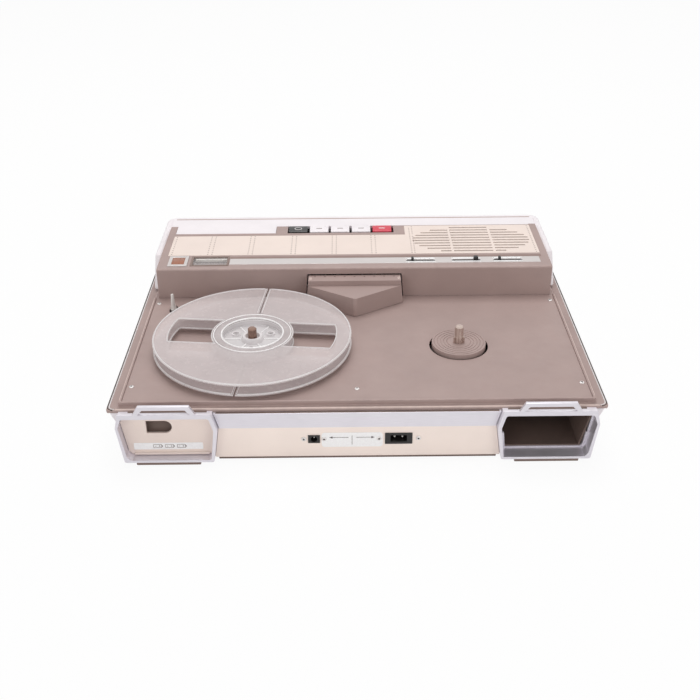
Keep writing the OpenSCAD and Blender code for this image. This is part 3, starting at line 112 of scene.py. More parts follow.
class RecorderSizes(PropertyGroup):
    """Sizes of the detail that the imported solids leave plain."""
    case_round: length("Case rounding", "Edge rounding of the tub", 1.0)
    cover_round: length("Rear cover rounding", "Edge rounding of the rear cover", 1.2)
    handle_round: length("Handle rounding", "Edge rounding of the handle", 2.2)
    deck_round: length("Deck rounding", "Edge rounding of the deck moulding", 0.8)
    deck_corner: length("Deck corner", "Rounding of the deck moulding's front corners", 3.0)
    block_round: length("Block rounding", "Edge rounding of the control block", 0.8)
    block_nose: length("Block nose", "Rounding of the block's top front edge", 1.7)
    lid_round: length("Head cover rounding", "Edge rounding of the head cover", 0.7)
    lid_nose: length("Head cover nose", "Rounding of the head cover's point", 2.2)
    key_round: length("Key rounding", "Edge rounding of the keys", 0.6)
    trim_round: length("Trim rounding", "Edge rounding of small trim", 0.3)
    plate_round: length("Plate rounding", "Edge rounding of the plates and panels", 0.25)
    table_round: length("Turntable rounding", "Edge rounding of the turntables", 0.22)
    fine_round: length("Fine rounding", "Edge rounding of the strip, meter and spindles", 0.2)
    part_round: length("Part rounding", "Edge rounding of the reel, door and knobs", 0.4)
    frame_round: length("Frame rounding", "Edge rounding of the lid frames and feet", 0.6)
    frame_corner: length("Frame corner", "Rounding of the lid frames' corners", 1.6)
    dot: length("Dot radius", "Radius of a dot on the cream panel", 0.7)
    dot_rows: IntProperty(name="Dot rows", description="Dots in one column",
                          default=10, min=2, max=30)
    bead: length("Reel bead", "Radius of the bead round the flanges", 0.55)
    screw: length("Screw radius", "Radius of a screw head", 2.1)
    print_rise: length("Print rise", "Thickness of printed marks", 0.12)
    lens: FloatProperty(name="Lens", description="Focal length of the camera in millimetres",
                        default=52.357, min=1)


def sizes():
    return bpy.context.scene.recorder_sizes


def colours():
    return bpy.context.scene.recorder_colours


class Finish:
    """One procedural finish: adds and joins the nodes of its material."""

    def __init__(self, name):
        self.mat = bpy.data.materials.new(name)
        self.mat.use_nodes = True
        self.tree = self.mat.node_tree
        self.skin = self.tree.nodes["Principled BSDF"]
        self.place = self.node("ShaderNodeTexCoord").outputs["Object"]

    def feed(self, socket, value):
        """Links another node's output to a socket, or sets a plain value there."""
        if isinstance(value, bpy.types.NodeSocket):
            self.tree.links.new(value, socket)
        else:
            socket.default_value = value

    def node(self, kind, inputs=None, **props):
        new = self.tree.nodes.new(kind)
        for key, value in props.items():
            setattr(new, key, value)
        for key, value in (inputs or {}).items():
            self.feed(new.inputs[key], value)
        return new

    def join(self, socket, value):
        self.feed(self.skin.inputs[socket], value)

    def noise(self, size, detail, stretch=(1, 1, 1)):
        """Cloudy pattern whose blobs are about size millimetres."""
        at = self.node("ShaderNodeMapping", {"Vector": self.place, "Scale": stretch})
        return self.node("ShaderNodeTexNoise", {"Vector": at.outputs["Vector"],
                                                "Scale": 1 / (size * MM),
                                                "Detail": detail}).outputs["Fac"]

    def wave(self, way, size, wobble):
        """Bands across one way, about size millimetres apart."""
        return self.node("ShaderNodeTexWave", {"Vector": self.place, "Scale": 1 / (size * MM),
                                               "Distortion": wobble},
                         bands_direction=way).outputs["Fac"]

    def remap(self, value, low, high, to_low, to_high):
        return self.node("ShaderNodeMapRange", {"Value": value, "From Min": low, "From Max": high,
                                                "To Min": to_low,
                                                "To Max": to_high}).outputs["Result"]

    def cloud(self, size, detail, low=0, high=1):
        """Cloudy pattern whose middle is spread from low to high."""
        return self.remap(self.noise(size, detail), 0.3, 0.7, low, high)

    def combine(self, a, b, kind="MULTIPLY"):
        return self.node("ShaderNodeMath", {0: a, 1: b}, operation=kind).outputs[0]

    def mix(self, fac, a, b):
        return self.node("ShaderNodeMix", {0: fac, 6: a, 7: b}, data_type="RGBA").outputs[2]

    def worn_and_highlit(self):
        """The mark that rounded edges carry: their edge colour stands for wear and for a painted
        highlight.
        """
        return self.node("ShaderNodeAttribute", attribute_name="wear_and_highlight").outputs["Fac"]

    def bump(self, height, depth, strength, under=None):
        inputs = {"Height": height, "Distance": depth * MM, "Strength": strength}
        if under is not None:
            inputs["Normal"] = under
        return self.node("ShaderNodeBump", inputs).outputs["Normal"]


def rgba(rgb, gain=1.0):
    return tuple(min(1.0, c * gain) for c in rgb) + (1.0,)


def moulded(name, rgb, rough=0.5, grain=0.35, mottle=0.05, scuff_and_highlight=0.35, edge=1.18):
    """Moulded plastic: fine grain, faint clouding, dull rubbed patches, and rounded edges paler or
    darker, partly wear and partly a painted highlight.
    """
    f = Finish(name)
    depth = 0.03
    base = f.mix(f.cloud(38, 4), rgba(rgb, 1 - mottle), rgba(rgb, 1 + mottle))
    speck = f.remap(f.noise(0.9, 2), 0.66, 0.74, 0, 0.22)
    base = f.mix(speck, base, rgba(rgb, 0.72))
    # Edges and beads take the edge colour in patches: rubbed wear and a painted highlight.
    rub_and_highlight = f.combine(f.worn_and_highlit(), f.remap(f.noise(7, 5), 0.42, 0.62, 0.15, scuff_and_highlight + 0.3))
    f.join("Base Color", f.mix(rub_and_highlight, base, rgba(rgb, edge)))
    f.join("Roughness", f.cloud(11, 5, rough - 0.07, rough + 0.09))
    hair = f.noise(2.2, 2, (1, 9, 9))
    f.join("Normal", f.bump(f.noise(grain, 2), depth, 0.35, f.bump(hair, depth, 0.08)))
    return f.mat


BRUSHED, TURNED, DRAWN = (0.02, 1, 1), (1, 1, 0.05), (1, 0.03, 1)


def metal(name, rgb, rough=0.32, stretch=BRUSHED, metallic=1.0, tarnish=0.12):
    """Worked metal: lines of the brush or the lathe, and dull handled patches."""
    f = Finish(name)
    lines = f.noise(0.25, 3, stretch)
    patch = f.remap(f.noise(24, 5), 0.35, 0.72, 0, 1)
    base = f.mix(f.remap(lines, 0.3, 0.7, 0, 1), rgba(rgb, 0.94), rgba(rgb, 1.05))
    base = f.mix(f.combine(patch, tarnish), base, rgba(rgb, 0.7))
    # Rounded edges painted brighter: wear and a painted highlight.
    f.join("Base Color", f.mix(f.combine(f.worn_and_highlit(), 0.35), base, rgba(rgb, 1.2)))
    f.join("Metallic", metallic)
    dull = f.combine(lines, patch, "ADD")
    f.join("Roughness", f.remap(dull, 0.5, 1.4, rough - 0.06, rough + 0.12))
    f.join("Normal", f.bump(lines, 0.02, 0.18))
    return f.mat


def frosted(name, rgb, cover=0.42, rough=0.24):
    """Frosted clear plastic: milky body, cut edges painted whiter and more opaque as a painted
    highlight, and fine handling lines.
    """
    f = Finish(name)
    base = f.mix(f.cloud(21, 4), rgba(rgb, 0.98), rgba(rgb, 1.02))
    f.join("Base Color", f.mix(f.combine(f.worn_and_highlit(), 0.75), base, (0.96, 0.95, 0.95, 1)))
    milk = f.cloud(17, 3, cover - 0.02, cover + 0.02)
    f.join("Alpha", f.combine(milk, f.combine(f.worn_and_highlit(), 0.35), "ADD"))
    f.join("Roughness", f.cloud(5, 5, rough - 0.08, rough + 0.08))
    f.join("Normal", f.bump(f.noise(1.2, 3, (1, 6, 1)), 0.02, 0.025))
    return f.mat


def lens(name, rgb):
    """Coloured lens: a glossy skin over faint flutes."""
    f = Finish(name)
    flute = f.wave("X", 9, 0.4)
    base = f.mix(f.cloud(9, 3), rgba(rgb, 0.85), rgba(rgb, 1.12))
    f.join("Base Color", f.mix(f.combine(flute, 0.3), base, rgba(rgb, 1.35)))
    f.join("Roughness", f.cloud(3, 3, 0.26, 0.4))
    f.join("Coat Weight", 0.15)
    f.join("Normal", f.bump(flute, 0.05, 0.3))
    return f.mat


def window(name):
    """Thin clear pane over the meter, with a little haze."""
    f = Finish(name)
    f.join("Base Color", f.mix(f.cloud(6, 4), (0.62, 0.6, 0.6, 1), (0.8, 0.78, 0.78, 1)))
    f.join("Alpha", f.remap(f.noise(4, 5), 0.35, 0.7, 0.06, 0.2))
    f.join("Roughness", f.cloud(5, 3, 0.06, 0.16))
    return f.mat


def cloth(name, rgb):
    """Open woven cloth behind the grille."""
    f = Finish(name)
    weave = f.combine(f.wave("X", 2.2, 0.2), f.wave("Y", 2.2, 0.2))
    base = f.mix(weave, rgba(rgb, 0.6), rgba(rgb, 1.5))
    f.join("Base Color", f.mix(f.cloud(8, 3, 0, 0.4), base, rgba(rgb, 0.8)))
    f.join("Roughness", f.cloud(4, 3, 0.8, 0.95))
    f.join("Normal", f.bump(weave, 0.15, 0.6))
    return f.mat


def rubber(name, rgb):
    """Dull rubber with a dusty bloom."""
    f = Finish(name)
    bloom = f.remap(f.noise(6, 5), 0.4, 0.7, 0, 0.35)
    f.join("Base Color", f.mix(bloom, rgba(rgb), (0.2, 0.19, 0.18, 1)))
    f.join("Roughness", f.cloud(3, 4, 0.7, 0.9))
    f.join("Normal", f.bump(f.noise(0.5, 3), 0.05, 0.4))
    return f.mat


def printed(name, rgb):
    """Printed ink or a thin plate: slightly uneven cover and sheen."""
    f = Finish(name)
    f.join("Base Color", f.mix(f.cloud(1.4, 4), rgba(rgb, 0.94), rgba(rgb, 1.06)))
    f.join("Roughness", f.cloud(2.5, 3, 0.38, 0.55))
    f.join("Normal", f.bump(f.noise(0.4, 2), 0.02, 0.2))
    return f.mat


def make_finishes():
    """Every finish by the name that the pieces ask for."""
    c = colours()
    out = [
        moulded("taupe_moulding", c.taupe, 0.52),
        moulded("white_moulding", c.white, 0.46, mottle=0.03, edge=0.93, scuff_and_highlight=0.25),
        moulded("cream_moulding", c.cream, 0.5, grain=0.28, mottle=0.03, edge=1.05),
        moulded("dark_moulding", c.dark, 0.6, mottle=0.12, edge=1.6),
        moulded("black_moulding", c.black, 0.42, mottle=0.1, edge=1.9),
        moulded("red_moulding", c.red, 0.4, mottle=0.06),
        moulded("box_moulding", c.box, 0.6, mottle=0.12, edge=1.3),
        moulded("surround_moulding", c.surround, 0.5, edge=1.25),
        metal("satin_silver", c.silver, 0.36, metallic=0.55),
        metal("brushed_strip", c.strip, 0.4, metallic=0.45),
        # A lighter copy of the cream for the front panel: painted light on a face that the lamps
        # leave dim.
        moulded("lit_panel_cream", tint(252, 237, 228), 0.5, grain=0.28, mottle=0.03, edge=1.02),
        moulded("socket_moulding", tint(26, 24, 24), 0.4, mottle=0.1, edge=1.6),
        # A lighter copy of the taupe: painted highlight on beads, ridges and the cover bar's ends.
        moulded("highlight_taupe", tint(206, 186, 178), 0.45, mottle=0.04),
        moulded("shade_taupe", tint(112, 92, 84), 0.55, mottle=0.08),
        moulded("pale_rim", tint(226, 222, 222), 0.45, mottle=0.04, edge=1.0),
        metal("screw_steel", tint(232, 228, 226), 0.34, metallic=0.5, tarnish=0.2),
        metal("pin_steel", tint(226, 222, 218), 0.3, metallic=0.3),
        metal("plain_steel", c.steel, 0.3),
        metal("turned_steel", c.steel, 0.22, TURNED),
        metal("plated_spindle", tint(198, 180, 171), 0.22, TURNED, metallic=0.9),
        # A darker copy of the spindle metal, for the supply spindle.
        metal("bronzed_spindle", tint(150, 122, 110), 0.24, TURNED, metallic=0.9),
        # A darker taupe for painted shade lines where the block steps down.
        moulded("step_shade_taupe", tint(146, 122, 115), 0.55, mottle=0.06),
        metal("turned_brass", tint(196, 160, 92), 0.28, TURNED),
        metal("bright_chrome", tint(226, 226, 228), 0.09, TURNED, tarnish=0.06),
        metal("cell_can", tint(168, 166, 164), 0.34, DRAWN),
        frosted("frosted_clear", c.frosted),
        frosted("polished_clear", tint(252, 248, 249), 0.66, 0.14),
        lens("amber_lens", c.amber),
        window("meter_pane"),
        cloth("grille_cloth", tint(52, 42, 38)),
        rubber("dull_rubber", tint(40, 38, 38)),
        moulded("lacquered_board", tint(58, 92, 62), 0.4, grain=0.6, mottle=0.15),
        printed("dark_print", c.print_dark),
        printed("grey_print", c.print_grey),
        printed("pale_print", tint(238, 232, 232)),
        printed("white_plate", tint(254, 252, 253)),
        # Black for painted shadow along the slider slots.
        printed("slot_shadow_black", tint(38, 35, 35)),
        # Brown for painted shade in the gap behind the rear cover.
        printed("gap_shade_brown", tint(158, 126, 116)),
        printed("meter_bar", tint(250, 246, 240)),
        printed("meter_card", tint(168, 158, 157)),
    ]
    return {m.name: m for m in out}


FINISH_OF_SLOT = {
    "white_plastic": "white_moulding", "taupe_plastic": "taupe_moulding",
    "dark_plastic": "dark_moulding", "cream_plastic": "cream_moulding",
    "silver_metal": "satin_silver", "black_plastic": "black_moulding", "brass": "turned_brass",
    "steel": "plain_steel", "chrome": "bright_chrome", "clear_plastic": "frosted_clear",
    "rubber": "dull_rubber", "red_plastic": "red_moulding", "amber_plastic": "amber_lens",
    "board": "lacquered_board", "cell_metal": "cell_can",
}


FINISH_OF_NODE = {
    "supply_spindle": "bronzed_spindle", "takeup_spindle": "plated_spindle",
    "capstan": "turned_steel", "tape_guides": "turned_steel", "accessory_box": "box_moulding",
    "battery_box": "box_moulding", "control_strip": "brushed_strip",
    # Slider bodies are black so that the slots read dark: painted shade in the slots.
    "meter_case": "surround_moulding", "slider_bodies": "black_moulding",
    "reel_hub": "polished_clear", "front_panel": "lit_panel_cream", "dc_jack": "socket_moulding",
    "ac_inlet": "socket_moulding", "socket_pins": "pin_steel", "volume_slider": "socket_moulding",
    "tone_slider": "socket_moulding", "speed_switch": "socket_moulding",
    "indicator_bezel": "brushed_strip", "feet": "surround_moulding", "tension_lever": "pin_steel",
}


def finish_for(node):
    return FINISH_OF_NODE.get(node) or FINISH_OF_SLOT[SLOT_OF[node]]


def material(name):
    return bpy.data.materials[name]


def point(x, y, z):
    """A place in metres from millimetres."""
    return Vector((x * MM, y * MM, z * MM))


def corners(node):
    """A node's box in millimetres."""
    low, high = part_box(node)
    return low / MM, high / MM


def middle(low, high):
    """The middle of a box, seen from above."""
    return (low.x + high.x) / 2, (low.y + high.y) / 2


def polar(centre, radius, angle):
    """A place by its distance and angle from a centre."""
    return centre[0] + radius * math.cos(angle), centre[1] + radius * math.sin(angle)


def circle(centre, radius, sides, start=0.0):
    return [polar(centre, radius, 2 * math.pi * (k + start) / sides) for k in range(sides)]


def ring_points(centre, radius, z, start=0.0, end=360.0, steps=96):
    """Points of an arc, or of a whole ring without its last point."""
    whole = abs(end - start) >= 360
    return [(*polar(centre, radius, math.radians(start + (end - start) * i / steps)), z)
            for i in range(steps if whole else steps + 1)]


def shade(bm):
    """Flat large faces, smooth curved and rounded ones, and creases kept."""
    wear_and_highlight = bm.faces.layers.float.get("wear_and_highlight")
    small = 3e-4
    bm.normal_update()
    for face in bm.faces:
        turned = [e.calc_face_angle(0) for e in face.edges if len(e.link_faces) == 2]
        bent = any(SLIGHT < a < BROAD for a in turned)
        level = any(a < LEVEL for a in turned)
        curved = bent and not level and face.calc_area() < small
        face.smooth = bool(wear_and_highlight and face[wear_and_highlight] > 0) or curved
    for edge in bm.edges:
        edge.smooth = len(edge.link_faces) == 2 and edge.calc_face_angle(0) < HARD


def crowded(edge, size):
    """True where a rounding of this size would run into the next edge."""
    along = (edge.verts[1].co - edge.verts[0].co).normalized()
    for vert in edge.verts:
        for other in vert.link_edges:
            line = other.other_vert(vert).co - vert.co
            near = line.length < 2.1 * size
            if other is not edge and near and abs(line.normalized().dot(along)) < 0.8:
                return True
    return False


def soften(bm, edges, size, steps=2):
    """Rounds the edges that have room and marks the new faces for edge colour: wear and a painted
    highlight.
    """
    wear_and_highlight = bm.faces.layers.float["wear_and_highlight"]
    chosen = [e for e in edges if e.is_valid and not crowded(e, size)]
    if not chosen:
        return
    made = bmesh.ops.bevel(bm, geom=chosen, offset=size, offset_type="OFFSET", segments=steps,
                           profile=0.5, affect="EDGES", clamp_overlap=True)
    for face in made["faces"]:
        face[wear_and_highlight] = 1


def creases(bm):
    return [e for e in bm.edges if len(e.link_faces) == 2 and e.calc_face_angle(0) > SHARP]


def new_mesh():
    bm = bmesh.new()
    bm.faces.layers.float.new("wear_and_highlight")
    return bm


def clean_copy(node):
    """A node's mesh with its loose triangles joined and flat areas made whole."""
    bm = bmesh.new()
    bm.from_mesh(frame["nodes"][node].data)
    bmesh.ops.remove_doubles(bm, verts=bm.verts, dist=3e-6)
    bmesh.ops.dissolve_limit(bm, angle_limit=math.radians(0.4), verts=bm.verts, edges=bm.edges,
                             delimit={"NORMAL"})
    bm.faces.layers.float.new("wear_and_highlight")
    return bm


def sound(bm):
    """True where every face can be cut into triangles that cover it once."""
    cut = bm.copy()
    bmesh.ops.triangulate(cut, faces=cut.faces[:])
    whole, parts = (sum(f.calc_area() for f in mesh.faces) for mesh in (bm, cut))
    cut.free()
    return abs(whole - parts) < 0.002 * whole


def seat(obj, body, nodes):
    """Rides a piece on its body and hides the nodes that it stands for."""
    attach(obj, body)
    if nodes:
        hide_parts(*nodes)


def add_piece(name, bm, finish, body="base", nodes=()):
    """Puts a finished mesh into the scene on its body."""
    shade(bm)
    mesh = bpy.data.meshes.new(name)
    bm.to_mesh(mesh)
    bm.free()
    if "custom_normal" in mesh.attributes:
        mesh.attributes.remove(mesh.attributes["custom_normal"])
    mesh.materials.append(material(finish))
    obj = bpy.data.objects.new(name, mesh)
    bpy.context.scene.collection.objects.link(obj)
    seat(obj, body, nodes)


def stand_in(node, bm):
    """Puts a finished copy of a node in its place."""
    add_piece(node + "_dressed", bm, finish_for(node), BODY_OF[node], (node,))


def dress(node, size, special=(), steps=2):
    """Stands a rounded copy of a node in its place. special lists (edge test, size) done first.
    Rounding that makes a face cross itself is done again at a smaller size."""
    for share in (1.0, 0.6, 0.35):
        bm = clean_copy(node)
        for test, own in special:
            soften(bm, [e for e in creases(bm) if test(e)], own * share, 3)
        soften(bm, creases(bm), size * share, steps)
        if sound(bm):
            break
    stand_in(node, bm)


def pour(part, bm):
    """Adds one mesh to another."""
    spare = bpy.data.meshes.new("spare")
    part.to_mesh(spare)
    part.free()
    bm.from_mesh(spare)
    bpy.data.meshes.remove(spare)


def block(bm, x, y, z, round_off=0.0):
    """A box from ranges in millimetres, with its edges rounded."""
    part = new_mesh()
    bmesh.ops.create_cube(part, size=1)
    mid = point(sum(x) / 2, sum(y) / 2, sum(z) / 2)
    span = [abs(b - a) * MM for a, b in (x, y, z)]
    for v in part.verts:
        v.co = Vector([c * wide for c, wide in zip(v.co, span)]) + mid
    if round_off:
        soften(part, list(part.edges), min(round_off * MM, min(span) * 0.45))
    pour(part, bm)


def points_of(made):
    """The points among what a mesh operation made."""
    return [part for part in made["geom"] if isinstance(part, bmesh.types.BMVert)]


def plate(bm, outline, normal, rise):
    """A thin plate: its outline in millimetres, raised along normal."""
    face = bm.faces.new([bm.verts.new(point(*p)) for p in outline])
    face.normal_update()
    if face.normal.dot(Vector(normal)) < 0:
        face.normal_flip()
    top = bmesh.ops.extrude_face_region(bm, geom=[face])
    shift = Vector(normal) * rise * MM
    for v in points_of(top):
        v.co += shift
    face.normal_flip()


def rounded(x, z, y, radius, steps=5):
    """Outline of an upright rectangle with round corners, in millimetres."""
    pts = []
    for turn, px, pz in ((0, x[1], z[1]), (90, x[0], z[1]), (180, x[0], z[0]), (270, x[1], z[0])):
        centre = (px - radius if turn in (0, 270) else px + radius,
                  pz - radius if turn in (0, 90) else pz + radius)
        for k in range(steps):
            at = polar(centre, radius, math.radians(turn + 90 * k / (steps - 1)))
            pts.append((at[0], y, at[1]))
    return pts


def band(bm, a, b):
    """Faces between two rings of points."""
    count = len(a)
    return [bm.faces.new((a[k], a[(k + 1) % count], b[(k + 1) % count], b[k]))
            for k in range(count)]


def bands(bm, rings):
    return [face for a, b in zip(rings, rings[1:]) for face in band(bm, a, b)]


def rings_of(bm, profile, sides, at=(0, 0), start=0.0):
    """Rings of points from (radius, height) pairs in millimetres."""
    return [[bm.verts.new(point(x, y, z)) for x, y in circle(at, r, sides, start)]
            for r, z in profile]


def sweep(bm, path, radius, sides=8, closed=False):
    """A round bead along points in millimetres."""
    pts = [point(*p) for p in path]
    last = len(pts) - 1
    rings = []
    for i, here in enumerate(pts):
        ahead = pts[(i + 1) % len(pts)] if closed or i < last else here
        behind = pts[i - 1] if closed or i > 0 else here
        run = (ahead - behind).normalized()
        side = run.cross(Vector((0, 0, 1))).normalized()
        over = side.cross(run).normalized()
        rings.append([bm.verts.new(here + side * x + over * y)
                      for x, y in circle((0, 0), radius * MM, sides)])
    made = bands(bm, rings + rings[:1] if closed else rings)
    if not closed:
        made += [bm.faces.new(rings[0]), bm.faces.new(list(reversed(rings[-1])))]
    # Every face of a bead takes the edge colour: wear and a painted highlight.
    wear_and_highlight = bm.faces.layers.float["wear_and_highlight"]
    for face in made:
        face[wear_and_highlight] = 1
    bmesh.ops.recalc_face_normals(bm, faces=made)


def lathe(bm, profile, at, sides=32):
    """Turns a closed profile of (radius, height) points in millimetres about an upright axis."""
    rings = rings_of(bm, profile, sides, at)
    bmesh.ops.recalc_face_normals(bm, faces=bands(bm, rings + rings[:1]))


def cap(bm, ring, top):
    """Faces from a ring to one point."""
    for k, vert in enumerate(ring):
        bm.faces.new((vert, ring[(k + 1) % len(ring)], top))


def dome(radius, height, sides=10):
    """Low round button about the origin, for the scattered details."""
    bm = new_mesh()
    profile = ((1.0, 0.0), (0.92, 0.55), (0.55, 0.92))
    rings = rings_of(bm, [(radius * r, height * z) for r, z in profile], sides)
    top = bm.verts.new(point(0, 0, height))
    bands(bm, rings)
    cap(bm, rings[-1], top)
    bm.faces.new(list(reversed(rings[0])))
    return bm


def screw_head(radius, height, sides=20):
    """Domed head with a driver slot cut across it."""
    half, floor, crown = (c * MM for c in (radius * 0.16, height * 0.45, height * 0.9))
    bm = new_mesh()
    profile = ((1.0, 0.0), (1.0, 0.4), (0.9, 0.75), (0.62, 0.95))
    rings = rings_of(bm, [(radius * r, height * z) for r, z in profile], sides, start=0.5)
    bands(bm, rings)
    bm.faces.new(list(reversed(rings[0])))
    bm.faces.new(rings[-1])
    for away in (1, -1):
        bmesh.ops.bisect_plane(bm, geom=bm.verts[:] + bm.edges[:] + bm.faces[:],
                               plane_co=(0, away * half, 0), plane_no=(0, away, 0))
    inner = [f for f in bm.faces if f.normal.z > 0.3 or f.calc_center_median().z > crown]
    inner = [f for f in inner if abs(f.calc_center_median().y) < half * 0.9]
    cut = bmesh.ops.extrude_face_region(bm, geom=inner)
    for v in points_of(cut):
        v.co.z = floor
    bmesh.ops.delete(bm, geom=[f for f in inner if f.is_valid], context="FACES")
    bmesh.ops.recalc_face_normals(bm, faces=bm.faces[:])
    return bm


def rib(length_x, width_y, height_z, round_off):
    """Small rounded bar standing on the origin."""
    bm = new_mesh()
    block(bm, (-length_x / 2, length_x / 2), (-width_y / 2, width_y / 2),
          (-height_z * 0.3, height_z), round_off)
    return bm


TREE_INPUTS = {"Places": "Geometry", "Shape": "Object", "Facing": "Vector", "Finish": "Material"}
TREE_NODES = {"given": "NodeGroupInput", "out": "NodeGroupOutput",
              "shape": "GeometryNodeObjectInfo", "setting": "GeometryNodeInstanceOnPoints",
              "facing": "FunctionNodeEulerToRotation", "real": "GeometryNodeRealizeInstances",
              "paint": "GeometryNodeSetMaterial"}
TREE_WIRES = ("given.Shape > shape.Object", "shape.Geometry > setting.Instance",
              "given.Facing > facing.Euler", "facing.Rotation > setting.Rotation",
              "real.Geometry > paint.Geometry", "given.Finish > paint.Material",
              "paint.Geometry > out.Pieces")


def shape_tree(name, inputs, nodes, wires):
    """Geometry nodes that set one shape on places and end in real, painted faces, with the
    inputs, nodes and wires that this tree has besides."""
    tree = bpy.data.node_groups.new(name, "GeometryNodeTree")
    for title, kind in {**TREE_INPUTS, **inputs}.items():
        tree.interface.new_socket(title, in_out="INPUT", socket_type="NodeSocket" + kind)
    tree.interface.new_socket("Pieces", in_out="OUTPUT", socket_type="NodeSocketGeometry")
    made = {key: tree.nodes.new(kind) for key, kind in {**TREE_NODES, **nodes}.items()}
    for key, node in made.items():
        node.name = key

    def socket(words, side):
        key, title = words.split(".")
        return getattr(made[key], side)[int(title) if title.isdigit() else title]
    for wire in TREE_WIRES + wires:
        start, end = wire.split(" > ")
        tree.links.new(socket(start, "outputs"), socket(end, "inputs"))
    return tree


def field_tree():
    """One shape on every place, each given its own small turn."""
    if "shape_field" in bpy.data.node_groups:
        return bpy.data.node_groups["shape_field"]
    tree = shape_tree(
        "shape_field", {"Size": "Float", "Turn": "Float", "Seed": "Int"},
        {"turning": "GeometryNodeRotateInstances", "chance": "FunctionNodeRandomValue",
         "spin": "ShaderNodeCombineXYZ", "turned": "FunctionNodeEulerToRotation",
         "less": "ShaderNodeMath"},
        ("given.Places > setting.Points", "given.Size > setting.Scale", "given.Turn > less.0",
         "less.0 > chance.2", "given.Turn > chance.3", "given.Seed > chance.Seed",
         "chance.1 > spin.Z", "spin.Vector > turned.Euler",
         "setting.Instances > turning.Instances", "turned.Rotation > turning.Rotation",
         "turning.Instances > real.Geometry"))
    less = tree.nodes["less"]
    less.operation = "MULTIPLY"
    less.inputs[1].default_value = -1.0
    return tree


def row_tree():
    """A straight row of one shape, from its start, step and count."""
    if "shape_row" in bpy.data.node_groups:
        return bpy.data.node_groups["shape_row"]
    return shape_tree(
        "shape_row", {"Count": "Int", "Start": "Vector", "Step": "Vector"},
        {"line": "GeometryNodeMeshLine"},
        ("given.Count > line.Count", "given.Start > line.Start Location",
         "given.Step > line.Offset", "line.Mesh > setting.Points",
         "setting.Instances > real.Geometry"))


def grow(name, tree, shape, finish, values, places, body, nodes=()):
    """Runs a tree on its places, keeps the result as a plain mesh and rides it on its body."""
    stock = bpy.data.meshes.new(name + "_shape")
    shade(shape)
    shape.to_mesh(stock)
    shape.free()
    sample = bpy.data.objects.new(name + "_shape", stock)
    stand = bpy.data.meshes.new(name + "_places")
    stand.from_pydata([tuple(c * MM for c in p) for p in places], [], [])
    obj = bpy.data.objects.new(name, stand)
    bpy.context.scene.collection.objects.link(obj)
    grower = obj.modifiers.new("grow", "NODES")
    grower.node_group = tree
    values = dict(values, Shape=sample, Finish=material(finish))
    for item in tree.interface.items_tree:
        if item.in_out == "INPUT" and item.name in values:
            grower[item.identifier] = values[item.name]
    deps = bpy.context.evaluated_depsgraph_get()
    mesh = bpy.data.meshes.new_from_object(obj.evaluated_get(deps), depsgraph=deps,
                                           preserve_all_data_layers=True)
    obj.modifiers.clear()
    obj.data = mesh
    bpy.data.objects.remove(sample)
    for spare in (stock, stand):
        bpy.data.meshes.remove(spare)
    mesh.name = name
    if not mesh.polygons:
        raise RuntimeError(name + " came out empty")
    seat(obj, body, nodes)


def row(name, shape, count, pitch, mid, finish, body="base"):
    """A row of one shape along X about its middle, in millimetres."""
    start = point(mid[0] - pitch * (count - 1) / 2, mid[1], mid[2])
    values = {"Count": count, "Start": start, "Step": point(pitch, 0, 0), "Facing": UPRIGHT}
    grow(name, row_tree(), shape, finish, values, [(0, 0, 0)], body)


def field(name, shape, places, finish, facing=UPRIGHT, turn=0.0, seed=1, nodes=()):
    """One shape on each of the places in millimetres, on the base."""
    values = {"Facing": facing, "Size": 1.0, "Turn": turn, "Seed": seed}
    grow(name, field_tree(), shape, finish, values, places, "base", nodes)


def seen_rays(tree):
    """One where the camera looks, straight or by way of gloss or glass, and zero elsewhere."""
    path = tree.nodes.new("ShaderNodeLightPath")
    seen = path.outputs["Is Camera Ray"]
    for kind in ("Is Glossy Ray", "Is Transmission Ray"):
        either = tree.nodes.new("ShaderNodeMath")
        either.operation = "MAXIMUM"
        tree.links.new(seen, either.inputs[0])
        tree.links.new(path.outputs[kind], either.inputs[1])
        seen = either.outputs[0]
    return seen


